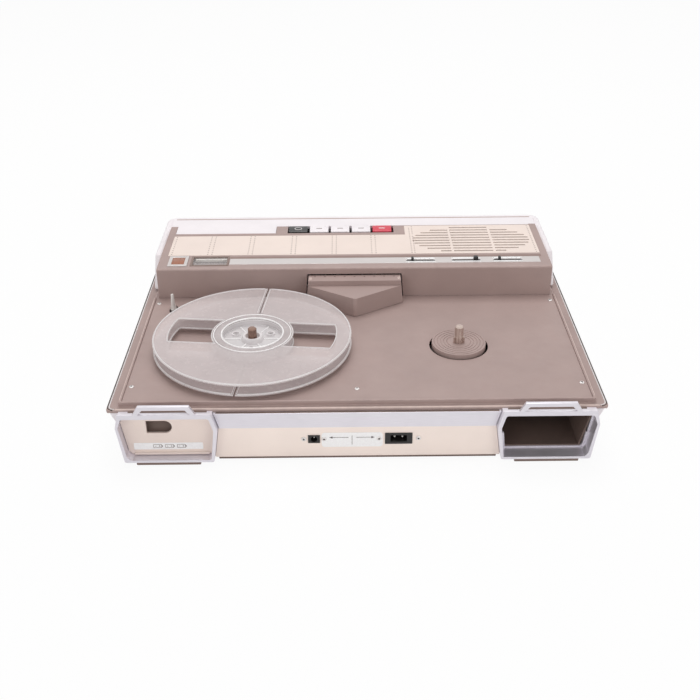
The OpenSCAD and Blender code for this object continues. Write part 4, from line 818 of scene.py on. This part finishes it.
class RECORDER_OT_stage(Operator):
    """Sets the pale floor, the soft light and the camera"""
    bl_idname = "recorder.stage"
    bl_label = "Stage"

    def execute(self, context):
        scene = context.scene
        scene.view_settings.view_transform = "Standard"
        self.camera(scene)
        self.floor(scene)
        self.world(scene)
        self.lamp(scene, "overhead", (0.0, 0.55, 2.1), 1.4, 24)
        for side in (-1, 1):
            self.lamp(scene, "front_fill", (side * 1.3, -1.9, 0.8), 1.2, 7)
        return {"FINISHED"}

    def camera(self, scene):
        data = bpy.data.cameras.new("photo_camera")
        data.lens = sizes().lens
        data.sensor_width = 36
        data.clip_start = 0.01
        cam = bpy.data.objects.new("photo_camera", data)
        right = Vector((0.9999478, -0.00785547, -0.0065341))
        up = Vector((0.00958604, 0.499866, 0.8660497))
        back = Vector((-0.00353705, -0.86606713, 0.49991521))
        turn = Matrix((right, up, back)).transposed().to_4x4()
        cam.matrix_world = Matrix.Translation(point(-8.618, -864.881, 510.221)) @ turn
        scene.collection.objects.link(cam)
        scene.camera = cam

    def floor(self, scene):
        mesh = bpy.data.meshes.new("floor")
        reach = 6.0
        outline = [(x * reach, y * reach, 0) for x, y in ((-1, -1), (1, -1), (1, 1), (-1, 1))]
        mesh.from_pydata(outline, [], [(0, 1, 2, 3)])
        obj = bpy.data.objects.new("floor", mesh)
        scene.collection.objects.link(obj)
        f = Finish("studio_floor")
        f.join("Base Color", f.mix(f.noise(300, 2), (0.93, 0.93, 0.93, 1), (0.96, 0.96, 0.96, 1)))
        f.join("Roughness", 0.9)
        glow = f.node("ShaderNodeEmission", {"Color": (1, 1, 1, 1), "Strength": 1.0})
        both = f.node("ShaderNodeMixShader", {0: f.combine(seen_rays(f.tree), 0.92),
                                              1: f.skin.outputs[0], 2: glow.outputs[0]})
        f.tree.links.new(both.outputs[0], f.tree.nodes["Material Output"].inputs["Surface"])
        mesh.materials.append(f.mat)

    def world(self, scene):
        world = bpy.data.worlds.new("studio")
        world.use_nodes = True
        scene.world = world
        tree = world.node_tree
        fill, white = tree.nodes["Background"], tree.nodes.new("ShaderNodeBackground")
        for node, colour_of, strength in ((fill, (1, 0.985, 0.975, 1), 0.46),
                                          (white, (1, 1, 1, 1), 1.0)):
            node.inputs["Color"].default_value = colour_of
            node.inputs["Strength"].default_value = strength
        pick = tree.nodes.new("ShaderNodeMixShader")
        for i, source in enumerate((seen_rays(tree), fill.outputs[0], white.outputs[0])):
            tree.links.new(source, pick.inputs[i])
        tree.links.new(pick.outputs[0], tree.nodes["World Output"].inputs["Surface"])

    def lamp(self, scene, name, at, size, power):
        data = bpy.data.lights.new(name, "AREA")
        data.shape = "SQUARE"
        data.size = size
        data.energy = power
        obj = bpy.data.objects.new(name, data)
        obj.location = at
        away = Vector((0, 0, 0.05)) - Vector(at)
        obj.rotation_euler = away.to_track_quat("-Z", "Y").to_euler()
        scene.collection.objects.link(obj)


class RECORDER_OT_finishes(Operator):
    """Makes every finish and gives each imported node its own"""
    bl_idname = "recorder.finishes"
    bl_label = "Finishes"

    def execute(self, context):
        made = make_finishes()
        for name, obj in frame["nodes"].items():
            if not obj.material_slots:
                raise RuntimeError(name + " has no material slot")
            for place in obj.material_slots:
                place.material = made[finish_for(name)]
        return {"FINISHED"}


class RECORDER_OT_case(Operator):
    """Rounds the tub, feet, rear cover and handle, and adds the vents of the back and a hatch"""
    bl_idname = "recorder.case"
    bl_label = "Case"

    def execute(self, context):
        s = sizes()
        dress("case_tub", s.case_round)
        dress("feet", s.frame_round)
        dress("rear_cover", s.cover_round)
        dress("handle", s.handle_round, steps=3)
        low, high = corners("case_tub")
        self.back_vents(high.y - 0.15)
        self.base_hatch(low.z)
        self.seam()
        return {"FINISHED"}

    def back_vents(self, y):
        count, pitch = 15, 6.0
        row("back_vent_ribs", rib(2.2, 1.0, 18.0, 0.45), count, pitch, (0, y, 17),
            "white_moulding")
        # Dark bars between the ribs: painted shade standing in for the vent openings.
        row("back_vent_slots", rib(2.6, 0.5, 16.0, 0.2), count - 1, pitch, (0, y, 18),
            "dark_moulding")

    def base_hatch(self, z):
        bm = new_mesh()
        block(bm, (-46, 46), (-30, 26), (z - 0.5, z + 0.4), 0.3)
        add_piece("base_hatch", bm, "white_moulding")

    def seam(self):
        # A brown strip along the rear cover's back edge: painted shade in the gap before the
        # handle.
        low, high = corners("rear_cover")
        bm = new_mesh()
        block(bm, (low.x + 3, high.x - 3), (high.y - 3.0, high.y - 1.4),
              (high.z - 0.3, high.z + 0.06))
        add_piece("rear_seam", bm, "gap_shade_brown")


class RECORDER_OT_deck(Operator):
    """Rounds the deck moulding, turntables, spindles and tape lever"""
    bl_idname = "recorder.deck"
    bl_label = "Deck"

    def execute(self, context):
        s = sizes()
        low, high = corners("deck_frame")

        def post(edge):
            return all(abs(v.co.x) / MM > high.x - 1 and v.co.y / MM < low.y + 1
                       for v in edge.verts)
        dress("deck_frame", s.deck_round, special=[(post, s.deck_corner)])
        self.rim_lines(low, high)
        self.lip_ridges(low, high)
        dress("deck_plate", s.plate_round)
        for side in ("supply", "takeup"):
            dress(side + "_turntable", s.table_round)
            dress(side + "_spindle", s.fine_round)
        dress("tension_lever", s.trim_round)
        self.lever_skirt()
        self.table_rings()
        return {"FINISHED"}

    def rim_lines(self, low, high):
        """Pale edge and dark line round the rim's sides; along its front a bead in pale taupe as
        painted highlight, and a line of painted shadow below it.
        """
        ledge = corners("front_trim")[1].z + 2.5
        back, bend, front = corners("control_housing")[1].y - 2, 5.0, low.y + 0.3
        arc = [math.radians(90 * i / 6) for i in range(7)]
        for name, inset, thick, drop, finish, slot in (
                ("rim_edges", 1.9, 0.6, 0.25, "pale_rim", "white_plastic"),
                ("rim_lines", 0.75, 0.7, 0.45, "dark_moulding", "dark_plastic")):
            x, y = high.x - inset, low.y + inset
            path = [(x, back), (x, (back + y) / 2)]
            path += [(x - bend + bend * math.cos(a), y + bend - bend * math.sin(a)) for a in arc]
            bm = new_mesh()
            for side in (-1, 1):
                sweep(bm, [(side * px, py, ledge - drop) for px, py in path], thick)
            add_piece(name, bm, finish)
        reach = high.x - 7.5
        for name, y, thick, z, finish in (
                ("rim_bead", front + 1.0, 0.8, ledge - 0.1, "highlight_taupe"),
                ("rim_groove", front + 0.2, 0.5, ledge - 1.0, "shade_taupe")):
            bm = new_mesh()
            sweep(bm, [(x, y, z) for x in (-reach, -reach / 3, reach / 3, reach)], thick)
            add_piece(name, bm, finish)

    def lip_ridges(self, low, high):
        # Pale taupe beads along the lip's top: a painted highlight on its edge.
        x, back = corners("deck_plate")[1].x + 1.9, corners("head_cover")[1].y - 2
        bm = new_mesh()
        for side in (-1, 1):
            sweep(bm, [(side * x, y, high.z - 0.35) for y in (low.y + 8.5, -60, back)], 0.45, 6)
        add_piece("lip_ridges", bm, "highlight_taupe")

    def lever_skirt(self):
        low, high = corners("tension_lever")
        deck = corners("deck_plate")[1].z
        profile = ((0.6, 0.3), (3.2, 0.3), (3.0, 0.9), (2.0, 6.0), (1.8, 8.6), (0.6, 9.0))
        bm = new_mesh()
        lathe(bm, [(r, deck + z) for r, z in profile], (low.x + 2.8, middle(low, high)[1]))
        add_piece("lever_skirt", bm, "pin_steel",
                  BODY_OF["tension_lever"])

    def table_rings(self):
        for side in ("supply", "takeup"):
            low, high = corners(side + "_turntable")
            centre = middle(low, high)
            bm = new_mesh()
            for share in (0.345, 0.47, 0.59, 0.71, 0.83, 0.95):
                radius = (high.x - centre[0]) * share
                sweep(bm, ring_points(centre, radius, high.z - 0.28, steps=64), 0.34, 6, True)
            add_piece(side + "_table_rings", bm, "taupe_moulding", side)


class RECORDER_OT_block(Operator):
    """Makes the control block: housing, dotted panel, cloth, strip and its marks, lamp and meter"""
    bl_idname = "recorder.block"
    bl_label = "Control block"

    def execute(self, context):
        s = sizes()
        low, high = corners("control_housing")

        def nose(edge):
            return all(abs(v.co.z / MM - high.z) < 0.05 and v.co.y / MM < low.y + 6
                       for v in edge.verts)
        dress("control_housing", s.block_round, special=[(nose, s.block_nose)])
        dress("grille_panel", s.plate_round)
        dress("control_strip", s.fine_round)
        dress("indicator_bezel", s.trim_round)
        dress("indicator_lens", s.trim_round)
        dress("meter_case", s.fine_round)
        self.cloth()
        self.edge_lines(high.z)
        self.dots()
        self.strip_marks()
        self.meter()
        return {"FINISHED"}

    def cloth(self):
        """Low oval dome of cloth under the slots."""
        floor = corners("grille_panel")[0].z
        centre, half, sides, crown = (120.5, 99.0), (62.5, 34.5), 48, 0.3
        bm = new_mesh()

        def oval(share, z):
            return [bm.verts.new(point(centre[0] + half[0] * x, centre[1] + half[1] * y, z))
                    for x, y in circle((0, 0), share, sides)]
        edge = floor + 0.18
        top = bm.verts.new(point(*centre, edge + crown))
        loops = [oval(r, edge + crown * (1 - r * r)) for r in (0.35, 0.7, 1.0)]
        loops.append(oval(1.0, floor + 0.05))
        cap(bm, loops[0], top)
        bands(bm, loops)
        bm.faces.new(loops[-1])
        bmesh.ops.recalc_face_normals(bm, faces=bm.faces[:])
        add_piece("speaker_cloth", bm, "grille_cloth")

    def edge_lines(self, top):
        """Painted shade lines behind the strip and behind the two parts of the panel, where the
        surface steps down.
        """
        low, high = corners("grille_panel")
        strip_low, strip_high = corners("control_strip")
        strip, main = strip_high.y, low.y + PANEL_DEPTH
        bm = new_mesh()
        for x, y in (((strip_low.x, high.x), (strip + 0.3, strip + 5.0)),
                     ((low.x, WING_X), (main + 0.1, main + 1.6)),
                     ((WING_X, high.x), (high.y + 0.1, high.y + 0.9))):
            block(bm, x, y, (top - 0.1, top + 0.08))
        add_piece("panel_edge_lines", bm, "step_shade_taupe")

    def dots(self):
        s = sizes()
        low, high = corners("grille_panel")
        margin, apart = 2.6, 2.1
        z, front, back = high.z - 0.05, low.y + margin, low.y + PANEL_DEPTH - margin
        columns = [low.x + 3.2]
        for x in (-144.6, -104.2, -61.2, -20.0, 20.0):
            columns += [x - apart, x + apart]
        places = []
        for i in range(s.dot_rows):
            y = front + (back - front) * i / (s.dot_rows - 1)
            places += [(x, y, z) for x in columns]
        wing_rows = s.dot_rows + 6
        for i in range(wing_rows):
            y = front + (high.y - margin - front) * i / (wing_rows - 1)
            places.append((high.x - 3.0, y, z))
            if y < high.y - 4:
                places.append((58.2, y, z))
            if y < back or y > low.y + PANEL_DEPTH - 1:
                places.append((61.2, y, z))
        field("panel_dots", dome(s.dot / MM, 0.16, 8), places, "grey_print")

    def strip_marks(self):
        top = corners("control_strip")[1].z
        slot_y, slot_half, edge = 50.0, 1.4, 0.8
        near, far, tick_y = slot_y - slot_half, slot_y + slot_half, slot_y + 2.2
        plate_z, shadow_z = (top - 0.1, top + 0.2), (top - 0.1, top + 0.26)
        tick_z = (top + 0.1, top + 0.2 + sizes().print_rise / MM)
        marks, plates, lines = new_mesh(), new_mesh(), new_mesh()
        for node, (x0, x1) in SLOT_SPAN.items():
            wide = (x0 - edge, x1 + edge)
            block(plates, wide, (far + 0.1, slot_y + 4.9), plate_z, 0.12)
            block(plates, wide, (slot_y - 4.6, near - 1.5), plate_z, 0.12)
            # Black bars along each slot's near edge: painted shadow under the slot's edge.
            block(lines, wide, (near - 1.45, near - 0.02), shadow_z, 0.1)
            count = 3 if node == "speed_switch" else 7
            for i in range(count):
                x = x0 + (x1 - x0) * i / (count - 1)
                tall = 1.5 if i in (0, count - 1) else 0.8
                block(marks, (x - 0.16, x + 0.16), (tick_y, tick_y + tall), tick_z)
        add_piece("strip_marks", marks, "grey_print")
        add_piece("strip_slot_plates", plates, "white_plate")
        add_piece("strip_slot_lines", lines, "slot_shadow_black")

    def meter(self):
        """The meter's card, its white bar, its scale and the pane over them."""
        low, high = corners("meter_case")
        wall, ticks, lap = 2.3, 11, 0.6
        x0, x1, y0, y1 = low.x + wall, high.x - wall, low.y + wall, high.y - wall
        card = high.z - 4.2
        along, under = (x0 + 1.5, x1 - 0.5), card - 0.2
        grey, bar, ink, pane = new_mesh(), new_mesh(), new_mesh(), new_mesh()
        block(grey, (x0, x1), (y0, y1), (card - 0.8, card), 0.2)
        block(bar, along, (y1 - 2.6, y1 - 0.4), (under, card + 2.6), 0.2)
        block(ink, along, (y1 - 4.3, y1 - 3.5), (under, card + 0.2))
        for i in range(ticks):
            x = x0 + 3.5 + (x1 - x0 - 7) * i / (ticks - 1)
            tall = 6.4 if i % 5 else 7.4
            block(ink, (x - 0.2, x + 0.2), (y1 - tall, y1 - 4.4), (under, card + 0.12))
        block(pane, (x0 - lap, x1 + lap), (y0 - lap, y1 + lap), (high.z - 1.4, high.z - 0.6), 0.3)
        add_piece("meter_card", grey, "meter_card")
        add_piece("meter_scale_bar", bar, "meter_bar")
        add_piece("meter_scale_print", ink, "dark_print")
        add_piece("meter_window", pane, "meter_pane")


class RECORDER_OT_controls(Operator):
    """Rounds the slide knobs and gives each its grip ribs"""
    bl_idname = "recorder.controls"
    bl_label = "Slide controls"

    def execute(self, context):
        ridge, pitch = 0.3, 1.0
        for node in SLOT_SPAN:
            low, high = corners(node)
            bm = clean_copy(node)
            for v in bm.verts:
                if v.co.z / MM > high.z - 0.05:
                    v.co.z -= ridge * MM
            soften(bm, creases(bm), sizes().part_round, 3)
            stand_in(node, bm)
            count = 3 if node == "speed_switch" else 2
            row(node + "_ribs", rib(0.45, 3.4, ridge, 0.12), count, pitch,
                (*middle(low, high), high.z - ridge - 0.02), "black_moulding",
                BODY_OF[node])
        return {"FINISHED"}


class RECORDER_OT_keys(Operator):
    """Rounds the five piano keys and prints their plain marks"""
    bl_idname = "recorder.keys"
    bl_label = "Keys"

    def execute(self, context):
        s = sizes()
        for node in ("rewind_key", "stop_key", "play_key", "forward_key", "record_key"):
            dress(node, s.key_round, steps=3)
            low, high = corners(node)
            x, y = middle(low, high)[0], low.y + 7.6
            z = (high.z - 0.1, high.z + s.print_rise / MM)
            ink, half, bars = "grey_print", 3.0, ((-0.6, 0.6),)
            bm = new_mesh()
            if node == "rewind_key":
                ink, bars = "pale_print", ()
                sweep(bm, [(x + 3.6 * px, y + 3.0 * py, high.z - 0.12)
                           for px, py in circle((0, 0), 1, 32)], 0.4, 6, True)
            elif node == "record_key":
                ink, half, bars = "pale_print", 3.2, ((-1.6, -0.8), (0.4, 1.2))
            for near, far in bars:
                block(bm, (x - half, x + half), (y + near, y + far), z, 0.08)
            add_piece(node + "_mark", bm, ink, BODY_OF[node])
        return {"FINISHED"}


class RECORDER_OT_cover(Operator):
    """Rounds the head cover, sets a row of painted notch shadows along its bar and pale ends on it
    as a painted highlight
    """
    bl_idname = "recorder.cover"
    bl_label = "Head cover"

    def execute(self, context):
        s = sizes()
        low, high = corners("head_cover")

        def nose(edge):
            return all(abs(v.co.x) / MM < 1 and v.co.y / MM < low.y + 4 for v in edge.verts)
        dress("head_cover", s.lid_round, special=[(nose, s.lid_nose)], steps=3)
        row("cover_bar_marks", rib(1.6, 1.3, 0.12, 0.05), 9, 9.6, (0, high.y - 3.2, high.z - 0.02),
            "shade_taupe", "head_cover")
        ends = new_mesh()
        for side in (-1, 1):
            block(ends, (side * 41.6, side * 44.2), (high.y - 9.5, high.y - 4.2),
                  (high.z - 0.6, high.z + 0.2), 0.3)
        add_piece("cover_bar_ends", ends, "highlight_taupe", "head_cover")
        return {"FINISHED"}


class RECORDER_OT_reel(Operator):
    """Makes the frosted reel: rounded flanges, rim beads, window rims and the hub's well"""
    bl_idname = "recorder.reel"
    bl_label = "Reel"

    def execute(self, context):
        for node in ("reel_lower", "reel_upper", "reel_hub"):
            dress(node, sizes().part_round)
        low, high = corners("reel_upper")
        centre, rim = middle(low, high), (high.x - low.x) / 2
        self.beads(centre, rim, high.z, corners("reel_lower")[1].z)
        self.hub(centre, high.z, corners("reel_hub")[0].z + 3.0)
        return {"FINISHED"}

    def beads(self, centre, rim, top, under):
        turn, bead, half_slit = -6.0, sizes().bead / MM, 1.9
        bm = new_mesh()
        for z, slit in ((top, 90 + turn), (under, 270 + turn)):
            sweep(bm, ring_points(centre, rim - 1.1, z, slit + half_slit, slit + 360 - half_slit,
                                  140), bead, 6)
            away = math.radians(slit)
            for side in (-1, 1):
                edge = polar(centre, side * 2.1, away + math.pi / 2)
                sweep(bm, [(*polar(edge, r, away), z) for r in (38.5, 55.0, 72.0, rim - 1.3)],
                      bead * 0.7, 6)
            for side in (0, 180):
                sweep(bm, self.window_loop(centre, side + turn, z), bead * 0.8, 6, True)
        add_piece("reel_beads", bm, "frosted_clear", "reel")

    def hub(self, centre, top, floor):
        """Rings round the well, the boss in it, three collars and six spokes."""
        bm = new_mesh()
        for r, thick in ((27.6, 0.8), (34.6, 0.5)):
            sweep(bm, ring_points(centre, r, top, steps=72), thick, closed=True)
        boss = ((6.4, -0.2), (10.2, -0.2), (9.2, 3.7), (8.8, 4.2), (6.8, 4.2), (6.4, 3.8))
        collar = ((2.7, -0.2), (4.1, -0.2), (4.1, 1.4), (3.8, 1.7), (3.0, 1.7), (2.7, 1.4))
        lathe(bm, [(r, floor + z) for r, z in boss], centre)
        for k in range(3):
            at = polar(centre, 18, math.radians(30 + 120 * k))
            lathe(bm, [(r, floor + z) for r, z in collar], at, 20)
        for k in range(6):
            a = math.radians(60 * k)
            sweep(bm, [(*polar(centre, r, a), floor + 0.2) for r in (10.5, 26.2)], 0.7, 6)
        add_piece("reel_hub_detail", bm, "polished_clear", "reel")

    def window_loop(self, centre, turn, z):
        """Outline of one window: two arcs about the reel's centre and two straight sides."""
        lap = 0.7
        inner, outer, half = 37.0 - lap, 75.0 + lap, 21.0 + lap
        near, far = math.asin(half / inner), math.asin(half / outer)
        start, end = inner * math.cos(near), outer * math.cos(far)
        straight = [start + (end - start) * i / 4 for i in (1, 2, 3)]
        pts = [polar((0, 0), inner, near - 2 * near * i / 12) for i in range(13)]
        pts += [(x, -half) for x in straight]
        pts += [polar((0, 0), outer, -far + 2 * far * i / 12) for i in range(13)]
        pts += [(x, half) for x in reversed(straight)]
        c, s = math.cos(math.radians(turn)), math.sin(math.radians(turn))
        return [(centre[0] + x * c - y * s, centre[1] + x * s + y * c, z) for x, y in pts]


class RECORDER_OT_front(Operator):
    """Makes the front: panel, trim, lid frames, battery door, sockets and plain printed plates"""
    bl_idname = "recorder.front"
    bl_label = "Front"

    def execute(self, context):
        s = sizes()
        dress("front_panel", s.plate_round)
        dress("front_trim", s.trim_round)

        def corner(edge):
            run = edge.verts[1].co - edge.verts[0].co
            return abs(run.normalized().y) > 0.99 and run.length > 4 * MM
        for side in ("left", "right"):
            dress(side + "_frame", s.frame_round, special=[(corner, s.frame_corner)])
        dress("battery_door", s.part_round)
        dress("dc_jack", s.trim_round)
        dress("ac_inlet", s.trim_round)
        self.socket_plate()
        self.pin_tips()
        self.skirt()
        self.door_plate()
        self.door_scoop()
        return {"FINISHED"}

    def socket_plate(self):
        """White plate between the sockets, with a bar and an arrow to each socket."""
        face = corners("front_panel")[0].y
        bm, ink = new_mesh(), new_mesh()
        plate(bm, rounded((-30.1, 21.1), (12.4, 26.6), face + 0.1, 2.6), FRONT, 0.4)
        add_piece("socket_plate", bm, "white_plate")
        y, mid, head = (face - 0.4, face - 0.25), 21.9, (2.6, 1.1)
        block(ink, (-4.8, -4.4), y, (14.5, 23.8))
        for tip, tail in ((-23.5, -7.5), (14.1, -1.0)):
            back = tip + math.copysign(head[0], tail - tip)
            block(ink, (min(tip, tail), max(tip, tail)), y, (mid - 0.2, mid + 0.2))
            plate(ink, [(tip, y[1], mid), (back, y[1], mid + head[1]), (back, y[1], mid - head[1])],
                  FRONT, 0.15)
        bmesh.ops.recalc_face_normals(ink, faces=ink.faces[:])
        add_piece("socket_arrows", ink, "dark_print")

    def pin_tips(self):
        low, high = corners("socket_pins")
        y, z = low.y + 0.2, (low.z + high.z) / 2
        places = [(x, y, z) for x in (low.x + 1.2, high.x - 7.8, high.x - 1.2)]
        field("socket_pin_tips", dome(1.15, 6.0, 14), places, "pin_steel", FORWARD, seed=3)

    def skirt(self):
        """Painted shade lines: a painted shadow under the panel, over the trim's top and behind the
        lid loops.
        """
        panel, rim = corners("front_panel")[0], corners("deck_frame")[0].y
        trim_low, trim_high = corners("front_trim")
        wide, top = (-117, 117), trim_high.z
        bm = new_mesh()
        block(bm, wide, (panel.y + 0.5, panel.y + 1.7), (0.7, panel.z + 0.2), 0.4)
        block(bm, wide, (trim_low.y + 0.3, rim), (top - 0.1, top + 0.12))
        for side in (-1, 1):
            block(bm, (side * 124, side * 189), (rim - 2.2, rim - 0.1), (top + 1.4, top + 1.75))
        add_piece("panel_shade_lines", bm, "shade_taupe")

    def door_plate(self):
        """White plate on the battery door, with three cells in outline."""
        face = corners("battery_door")[1].y - 2.4
        bm, ink = new_mesh(), new_mesh()
        plate(bm, rounded((-187.9, -129.8), (10.2, 16.8), face + 0.1, 0.6), FRONT, 0.35)
        add_piece("door_plate", bm, "white_plate", "battery_door")
        y, mid, line, wide, tall, nub = (face - 0.35, face - 0.2), 13.5, 0.15, 3.4, 1.6, 0.7
        level = (mid - line, mid + line)
        for x in (-168.0, -158.0, -148.0):
            for z in (mid - tall, mid + tall):
                block(ink, (x - wide, x + wide), y, (z - line, z + line))
            for end in (x - wide, x + wide):
                block(ink, (end - line, end + line), y, (mid - tall, mid + tall))
            block(ink, (x + wide, x + 4.2), y, (mid - nub, mid + nub))
            block(ink, (x + 1.0, x + 2.4), y, level)
            block(ink, (x + 1.55, x + 1.85), y, (mid - nub, mid + nub))
            block(ink, (x - 2.4, x - 1.0), y, level)
        add_piece("door_cell_marks", ink, "grey_print", "battery_door")

    def door_scoop(self):
        """Round pocket behind the battery door's finger notch."""
        back = corners("battery_door")[1].y + 0.02
        x0, x1, low, high, deep, skin = -176.4, -153.9, 25.9, 39.2, 5.5, 0.6
        mid, half = (low + high) / 2, (high - low) / 2
        arc = [math.radians(-90 + 180 * i / 10) for i in range(11)]
        inner = [(back + deep * math.cos(a), mid + half * math.sin(a)) for a in arc]
        outer = [(back + (deep + skin) * math.cos(a), mid + (half + skin) * math.sin(a))
                 for a in reversed(arc)]
        bm = new_mesh()
        plate(bm, [(x0, y, z) for y, z in inner + outer], (1, 0, 0), x1 - x0)
        for x in (x0 - skin, x1):
            plate(bm, [(x, y, z) for y, z in outer], (1, 0, 0), skin)
        bmesh.ops.recalc_face_normals(bm, faces=bm.faces[:])
        add_piece("door_notch_pocket", bm, "box_moulding", "battery_door")


class RECORDER_OT_screws(Operator):
    """Sets slotted screws in the front panel, the deck and the base"""
    bl_idname = "recorder.screws"
    bl_label = "Screws"

    def execute(self, context):
        face = corners("front_panel")[0].y - 0.1
        deck = corners("deck_plate")[1].z
        base = corners("case_tub")[0].z
        self.heads("panel_screws", [(x, face, 20.5) for x in (-45, -28, 18, 51)], FORWARD, 2,
                   ("screws",))
        self.heads("deck_screws", [(-191, -132, deck), (191, -132, deck), (-191, 21, deck),
                                   (191, 21, deck), (0, -138.5, deck)], UPRIGHT, 5)
        self.heads("base_screws", [(side * x, y, base) for side in (-1, 1)
                                   for x, y in ((150, -70), (150, 60), (60, 120))], DOWNWARD, 9)
        return {"FINISHED"}

    def heads(self, name, places, facing, seed, nodes=()):
        field(name, screw_head(sizes().screw / MM, 0.9), places, "screw_steel", facing,
              1.4, seed, nodes)
        # A dark dome in the middle of each head: painted shade of its recess.
        lift = Vector((0, 0, 0.75))
        lift.rotate(Euler(facing))
        field(name + "_centres", dome(0.85, 0.4), [tuple(Vector(p) + lift) for p in places],
              "dark_moulding", facing, seed=seed)


class RECORDER_PT_panel(Panel):
    """Lists the steps that dress the recorder"""
    bl_label = "Recorder"
    bl_idname = "RECORDER_PT_panel"
    bl_space_type = "VIEW_3D"
    bl_region_type = "UI"
    bl_category = "Recorder"

    def draw(self, context):
        for step in STEPS:
            self.layout.operator(step.bl_idname)
        for group in (context.scene.recorder_sizes, context.scene.recorder_colours):
            box = self.layout.box()
            for key in group.bl_rna.properties.keys():
                if key not in ("rna_type", "name"):
                    box.prop(group, key)


STEPS = (RECORDER_OT_stage, RECORDER_OT_finishes, RECORDER_OT_case, RECORDER_OT_deck,
         RECORDER_OT_block, RECORDER_OT_controls, RECORDER_OT_keys, RECORDER_OT_cover,
         RECORDER_OT_reel, RECORDER_OT_front, RECORDER_OT_screws)
CLASSES = (RecorderColours, RecorderSizes) + STEPS + (RECORDER_PT_panel,)


def register():
    for cls in CLASSES:
        bpy.utils.register_class(cls)
    bpy.types.Scene.recorder_sizes = PointerProperty(type=RecorderSizes)
    bpy.types.Scene.recorder_colours = PointerProperty(type=RecorderColours)


def unregister():
    del bpy.types.Scene.recorder_colours
    del bpy.types.Scene.recorder_sizes
    for cls in reversed(CLASSES):
        bpy.utils.unregister_class(cls)


def main():
    register()
    for step in STEPS:
        group, name = step.bl_idname.split(".")
        getattr(getattr(bpy.ops, group), name)()
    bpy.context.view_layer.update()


if __name__ == "__main__":
    main()
